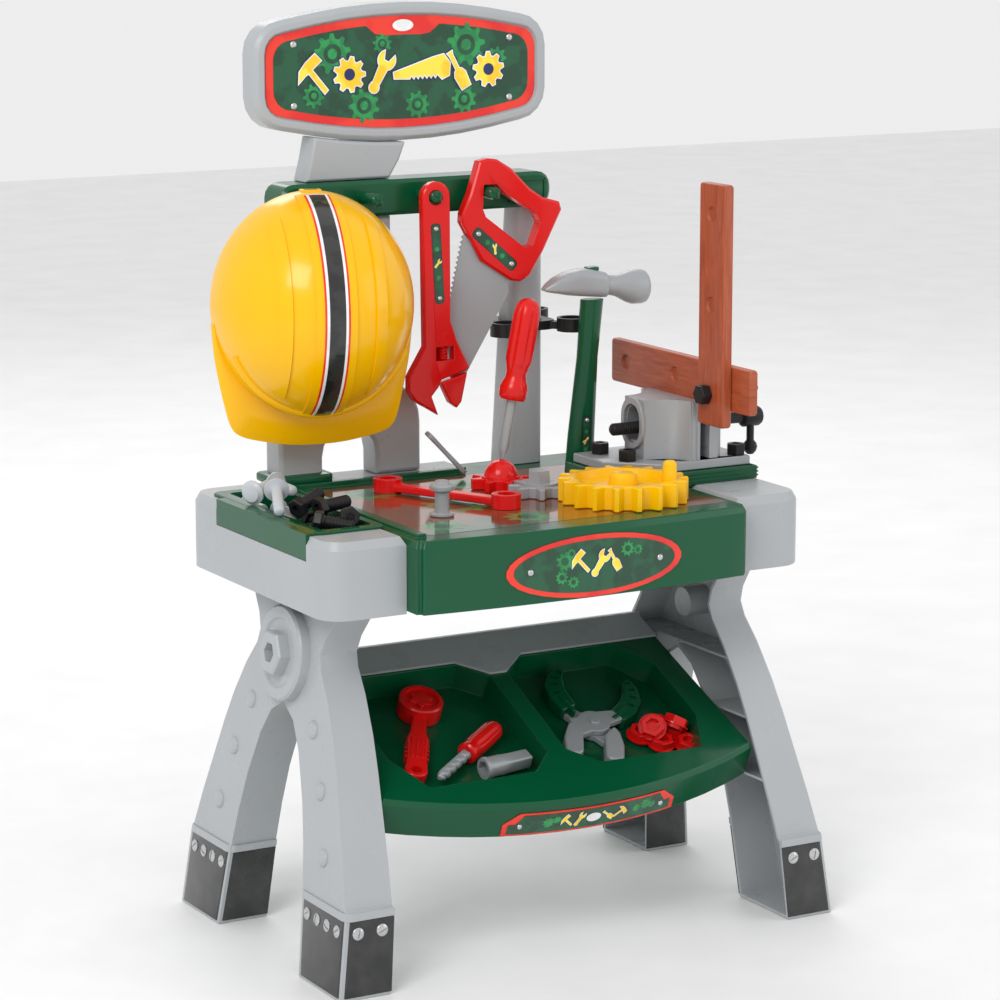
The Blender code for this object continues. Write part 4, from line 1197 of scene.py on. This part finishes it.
def pliers():
    """Two silver jaws on a round pivot, with green curved arms that have slots and collars."""
    place = shelf_matrix(62, 71, -22 + GAP_ABOVE, radians(-27.4))
    jaw = [(9.5, -16), (9.5, -46), (13, -51), (22, -51), (26, -46), (26.5, -28), (23, -10), (18, -2)]
    arm = [
        (15, 20), (24, 38), (26.5, 52), (25, 66), (29, 71.5), (36, 70), (42, 57), (44, 40), (38, 22),
        (27, 8)
    ]
    for node, side, low in (("pliers_left", -1, 6.3), ("pliers_right", 1, 0.4)):
        body = BODY_OF[node]
        neck = [(22, -3), (10, -22), (0, -13), (10, 6)]
        shoulder = [(27, 12), (17, 21), (0, 14), (13, -1)]
        shape = piece(
            node + "_jaw", moved(prism([(side * x, y) for x, y in jaw], 0, 12.4), place), "silver", body,
            30, 2.6
        )
        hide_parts(node)
        piece(
            node + "_disc", moved(turned([(14.4, low), (14.4, low + 5.6)], 48), place), "silver", body, 30,
            0.8
        )
        piece(
            node + "_neck", moved(prism([(side * x, y) for x, y in neck], low, low + 5.5), place), "silver",
            body, 30, 1
        )
        piece(
            node + "_shoulder", moved(prism([(-side * x, y) for x, y in shoulder], low, low + 5.5), place),
            "silver", body, 30, 1
        )
        shape = piece(
            node + "_arm", moved(prism([(-side * x, y) for x, y in arm], 0, 12.4), place), "green", body,
            30, 2.2
        )
        for x, y, turn in ((33.5, 32, -0.35), (35.5, 44, -0.1), (34.5, 55, 0.25), (31, 64, 0.5)):
            slot = prism(rectangle(-3.2, 3.2, -1.7, 1.7, 1.5), 9.6, 16)
            slot = moved(slot, Matrix.Translation((-side * x, y, 0)) @ Matrix.Rotation(-side * turn, 4, "Z"))
            join_cut(shape, moved(slot, place), "DIFFERENCE")
        collar = prism(rectangle(-2, 2, -11, 11, 1.5), -0.2, 13.4)
        collar = moved(
            collar,
            Matrix.Translation((-side * 23.5, 17.5, 0)) @ Matrix.Rotation(-side * 0.95 + pi / 2, 4, "Z")
        )
        piece(node + "_collar", moved(collar, place), "green", body, 30, 1.2)
    rivet = turned([(5.5, 11.8), (5.5, 12.8), (4.6, 13.4), (1, 13.5)], 6)
    piece("pliers_pivot", moved(rivet, place), "silver", BODY_OF["pliers_left"], 30)


def ratchet():
    """A red ratchet: a ribbed handle with a hole, a neck and a round head with a star."""
    place = shelf_matrix(-127, 40, -22 + GAP_ABOVE, radians(62))
    body = BODY_OF["ratchet_wrench"]
    handle = arc((5, 0), 10, 90, 270, 14) + [(22, -8.5), (48, -10), (56, -7.5), (84, -6.5)]
    handle += [(84, 6.5), (56, 7.5), (48, 10), (22, 8.5)]
    made = piece("ratchet_handle", moved(prism(handle, 0, 11.5), place), "red", body, 30, 2.4)
    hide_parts("ratchet_wrench")
    join_cut(made, moved(turned([(4.6, 4), (4.6, 20)], 28), place @ at(4, 0, 0)), "DIFFERENCE")
    for y in (-4.6, 0, 4.6):
        rib = prism(rectangle(20, 48, y - 1.1, y + 1.1, 1), 10, 12.6)
        piece(f"ratchet_rib_{y:.0f}", moved(rib, place), "red", body, 30, 0.6)
    for x in (24, 30, 36, 42):
        bump = prism(rectangle(x - 1.6, x + 1.6, -10.4, 10.4, 1), 1.5, 9.5)
        piece(f"ratchet_grip_{x}", moved(bump, place), "red", body, 30, 0.8)
    head = place @ at(98, 0, 0)
    ring = turned([(18.6, 0), (19.4, 1), (19.4, 15.5), (18.2, 17), (15.2, 17), (14.6, 14.2), (1, 14.2)], 56)
    piece("ratchet_head", moved(ring, head), "red", body, 30)
    star = []
    for i in range(24):
        turn = 2 * pi * i / 24
        radius = 9.5 + 2.2 * cos(6 * turn)
        star.append((radius * cos(turn), radius * sin(turn)))
    piece("ratchet_star", moved(prism(star, 13.6, 16.6), head), "red", body, 30, 0.5)


def socket():
    """A silver socket: six-sided mouth, thick collar and a square back end."""
    place = Matrix.Translation(joint_place("socket_lift")) @ shelf_matrix(turn=radians(6)).to_3x3().to_4x4()
    place = place @ Matrix.Rotation(pi / 2, 4, "Y")
    body = BODY_OF["socket"]
    rings = []
    for z, round_share, radius in (
        (0, 1, 9.2), (1.2, 1, 9.8), (3.5, 1, 9.8), (5, 1, 9.1), (17, 1, 9.0), (23, 0.5, 7.4), (28, 0, 6.4),
        (45, 0, 6.3), (46, 0, 5.6)
    ):
        ring = []
        for i in range(48):
            t = 2 * pi * i / 48
            square = 1 / max(abs(cos(t)), abs(sin(t)))
            r = radius * (round_share + (1 - round_share) * min(square, 1.3))
            ring.append((r * cos(t), r * sin(t), z))
        rings.append(ring)
    made = piece("socket_look", moved(loft(rings), place), "silver", body, 40)
    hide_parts("socket")
    join_cut(made, moved(turned([(7.2, -2), (7.0, 14)], 6), place), "DIFFERENCE")


def tray_pile():
    """More studs and screws heaped over those on the tray's floor."""
    studs = (
        (1, (-218, -8, 374), (0.32, 0.78, 0.26), 44),
        (2, (-193, 62, 384), (-0.75, -0.45, -0.1), 30),
        (2, (-176, 50, 378), (-0.2, 0.9, 0.1), 30),
    )
    for i, (owner, start, direction, length) in enumerate(studs):
        flange_stud(
            f"pile_stud_{i}", start, direction, length, 4.6, 10.5, "white", BODY_OF[f"tray_stud_{owner}"]
        )
    screws = (
        (1, (-178, -66, 369), (-0.75, 0.55, 0.12)),
        (2, (-168, -30, 372), (-0.35, -0.9, 0.12)),
        (3, (-172, 8, 384), (-0.8, -0.35, -0.25)),
        (3, (-154, -8, 378), (-0.95, -0.2, -0.05)),
    )
    for i, (owner, start, direction) in enumerate(screws):
        hex_screw(
            f"pile_screw_{i}", start, direction, 34, 5.6, 9, "black", BODY_OF[f"tray_screw_{owner}"],
            0.3 * i
        )


def vise_arch():
    """The raised rim round the mouth of the fixed jaw, and ribs on its sides."""
    x = 129.0

    def capsule(half, z0, z1):
        return arc((0, z1 - half), half, 0, 180, 12) + arc((0, z0 + half), half, 180, 360, 12)

    outer, inner = capsule(17.5, 396, 441), capsule(12.8, 401, 435)
    rings = []
    for outline, depth in ((outer, 0.0), (outer, -3.2), (inner, -3.2), (inner, 0.0)):
        rings.append([(x + depth, y, z) for y, z in outline])
    piece("vise_mouth_rim", loft(rings, True), "silver", "bench", 35, 0.6)
    for side in (-1, 1):
        for i, (px, py) in enumerate(((163.5, 41.3), (168.5, 41.3))):
            rib = prism(rectangle(px - 1.2, px + 1.2, py - 1.6, py + 0.6), 388, 439)
            if side < 0:
                rib = moved(rib, Matrix.Scale(-1, 4, (0, 1, 0)))
            piece(f"vise_side_rib_{side}_{i}", rib, "silver", "bench", 30, 0.5)


def leg_ribs(side):
    """Cross ribs and the hub's tube inside a leg."""
    name = "left" if side < 0 else "right"
    for sign in (-1, 1):
        for z, inner, outer in ((118, 60, 127), (170, 41, 106), (218, 1, 81)):
            near, far = 196 - 0.083 * z, 237.5 - 0.128 * z
            rib = prism(
                [
                    (side * near, sign * inner), (side * far, sign * inner), (side * far, sign * outer),
                    (side * near, sign * outer)
                ],
                z - 1.2, z + 1.2
            )
            piece(f"{name}_rib_{sign}_{z}", rib, "grey", "bench", 30, 0.4)
    tube = moved(
        turned([(13, 0), (13, 26), (9.5, 26.5), (9.5, 2)], 36), along((side * 180.5, 0, 253), (side, 0, 0))
    )
    piece(f"{name}_hub_tube", tube, "grey", "bench", 30, 0.4)


def frame_details():
    """Green socket under the left post, ridges on the pegs, raised frame on the rail and plinth grooves."""
    collar = prism(rectangle(-166, -108, 108, 150.5, 7), 370.6, 378, 1.6)
    piece("post_socket", collar, "green", "bench", 30, 0.8)
    for i, x in enumerate((-134, -77, -20, 37)):
        tip = turned([(5.4, -0.2), (5.3, 0.8), (4.2, 2.0), (2.2, 2.6), (0.3, 2.8)], 28)
        piece(f"peg_tip_{i}", moved(tip, along((x, 85, 615), (0, -1, 0))), "green", "bench")
        for roll in (0, pi / 2):
            ridge = prism(rectangle(-5.2, 5.2, -0.9, 0.9), 0, 3.4)
            piece(
                f"peg_ridge_{i}_{roll:.0f}", moved(ridge, along((x, 85, 615), (0, -1, 0), roll + pi / 4)),
                "green", "bench", 30, 0.4
            )
    for x0, x1, z0, z1 in (
        (66, 104, 621.5, 623.5), (66, 104, 603.5, 605.5), (66, 68, 603.5, 623.5), (102, 104, 603.5, 623.5)
    ):
        piece(
            f"rail_frame_{x0}_{x1}_{z0:.0f}", standing(rectangle(x0, x1, z0, z1), 110.9, 113), "green",
            "bench", 30, 0.4
        )
    for z in (370.6, 373.8, 377.0):
        ridge = prism(
            [(87.2, -3.3), (132.6, -48.8), (226.8, -48.8), (226.8, -46), (134, -46), (89, -1)], z, z + 1.4
        )
        piece(f"plinth_ridge_{z:.0f}", ridge, "green", "bench", 30, 0.4)


def worm():
    """The ridged red adjusting worm of the wrench."""
    start = joint_place("wrench_worm_turn")
    z0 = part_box("wrench_worm")[0][2] / MM
    rings = []
    for k in range(81):
        z = 0.6 + 10.8 * k / 80
        ring = []
        for i in range(32):
            t = 2 * pi * i / 32
            r = 3.6 + 0.85 * cos(t - z * 2 * pi / 2.4)
            ring.append((start.x + r * cos(t), start.y + r * sin(t), z0 + z - 0.6))
        rings.append(ring)
    made = piece("worm_look", loft(rings), "red", BODY_OF["wrench_worm"], 60)
    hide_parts("wrench_worm")
    back = (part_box("wrench_body")[1][1] - BENCH.y) / MM
    cover = standing(rectangle(start.x - 7.5, start.x + 7.5, z0 - 2.5, z0 + 13.5, 2), back - 0.1, back + 0.7)
    piece("wrench_window_back", cover, "red", BODY_OF["wrench_body"], 30)


def deck_details():
    """The printed sheet on the worktop, with its gears."""
    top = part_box("rear_ledge")[0][2] / MM - 0.3
    sheet = rectangle(-138, 150, -118, 96, 8)
    piece("deck_sheet", prism(sheet, top + 0.02, top + 0.14), "deck_print", "bench")
    for i, (x, y, size, turn) in enumerate(
        (
            (-60, -20, 2.4, 0.2), (-100, 60, 1.8, 0.1), (-30, -90, 1.6, 0.6), (-10, 60, 1.6, 0.3),
            (60, 20, 2.0, 0.0), (-110, -90, 1.5, 0.4)
        )
    ):
        piece(
            f"deck_gear_{i}",
            moved(prism(placed_outline(gear_icon(), x, y, size, turn), top + 0.16, top + 0.2), Matrix()),
            "ink_light", "bench"
        )
        piece(
            f"deck_gear_hole_{i}",
            prism(placed_outline(circle((0, 0), 5.5, 32), x, y, size), top + 0.22, top + 0.26), "ink_green",
            "bench"
        )


# The photo was taken from the bench's left, from a little above the worktop, with a long lens.
CAMERA_AT = (-1.425, -2.509, 0.932)
CAMERA_AIM = (-0.00534, 0, 0.36276)
CAMERA_LENS = 123.8
CAMERA_SENSOR = 36
LAMPS_AIM = (0, 0, 0.4)
# Each lamp's name, place, size in metres and power in watts.
LAMPS = (
    ("key", (-2.2, -1.6, 2.4), 1.4, 42),
    ("fill", (2.4, -1.8, 1.2), 1.6, 8),
    ("back", (0.8, 2.2, 2.2), 1.4, 18),
)


def main_floor_and_light():
    """The pale floor, the soft lights and the camera."""
    world = bpy.data.worlds.new("studio")
    world.use_nodes = True
    world.node_tree.nodes["Background"].inputs["Color"].default_value = (1.0, 1.0, 1.0, 1)
    world.node_tree.nodes["Background"].inputs["Strength"].default_value = 0.85
    bpy.context.scene.world = world
    mesh = bpy.data.meshes.new("floor")
    solid = bmesh.new()
    bmesh.ops.create_grid(solid, x_segments=1, y_segments=1, size=6)
    solid.to_mesh(mesh)
    solid.free()
    floor = bpy.data.objects.new("floor", mesh)
    floor.location = (0, 0, -0.0005)
    bpy.context.scene.collection.objects.link(floor)
    mesh.materials.append(plastic("floor_paper", (0.86, 0.86, 0.86), 0.7))
    for name, place, size, power in LAMPS:
        light = bpy.data.lights.new(name, "AREA")
        light.energy = power
        light.size = size
        lamp = bpy.data.objects.new(name, light)
        lamp.location = place
        lamp.rotation_euler = (Vector(LAMPS_AIM) - Vector(place)).to_track_quat("-Z", "Y").to_euler()
        bpy.context.scene.collection.objects.link(lamp)
    camera = bpy.data.cameras.new("camera")
    camera.lens = CAMERA_LENS
    camera.sensor_width = CAMERA_SENSOR
    eye = bpy.data.objects.new("camera", camera)
    target = BENCH + Vector(CAMERA_AIM)
    eye.location = BENCH + Vector(CAMERA_AT)
    eye.rotation_euler = (target - eye.location).to_track_quat("-Z", "Y").to_euler()
    bpy.context.scene.collection.objects.link(eye)
    bpy.context.scene.camera = eye
    bpy.context.scene.view_settings.view_transform = "Standard"


plain_parts()
for side in (-1, 1):
    leg_details(side)
sign_label()
front_label()
shelf_details()
helmet()
screwdriver()
hammer_head()
loose_fasteners()
vise_details()
small_driver()
tool_labels()
nuts()
pliers()
ratchet()
socket()
tray_pile()
vise_arch()
frame_details()
worm()
for side in (-1, 1):
    leg_ribs(side)
deck_details()
main_floor_and_light()
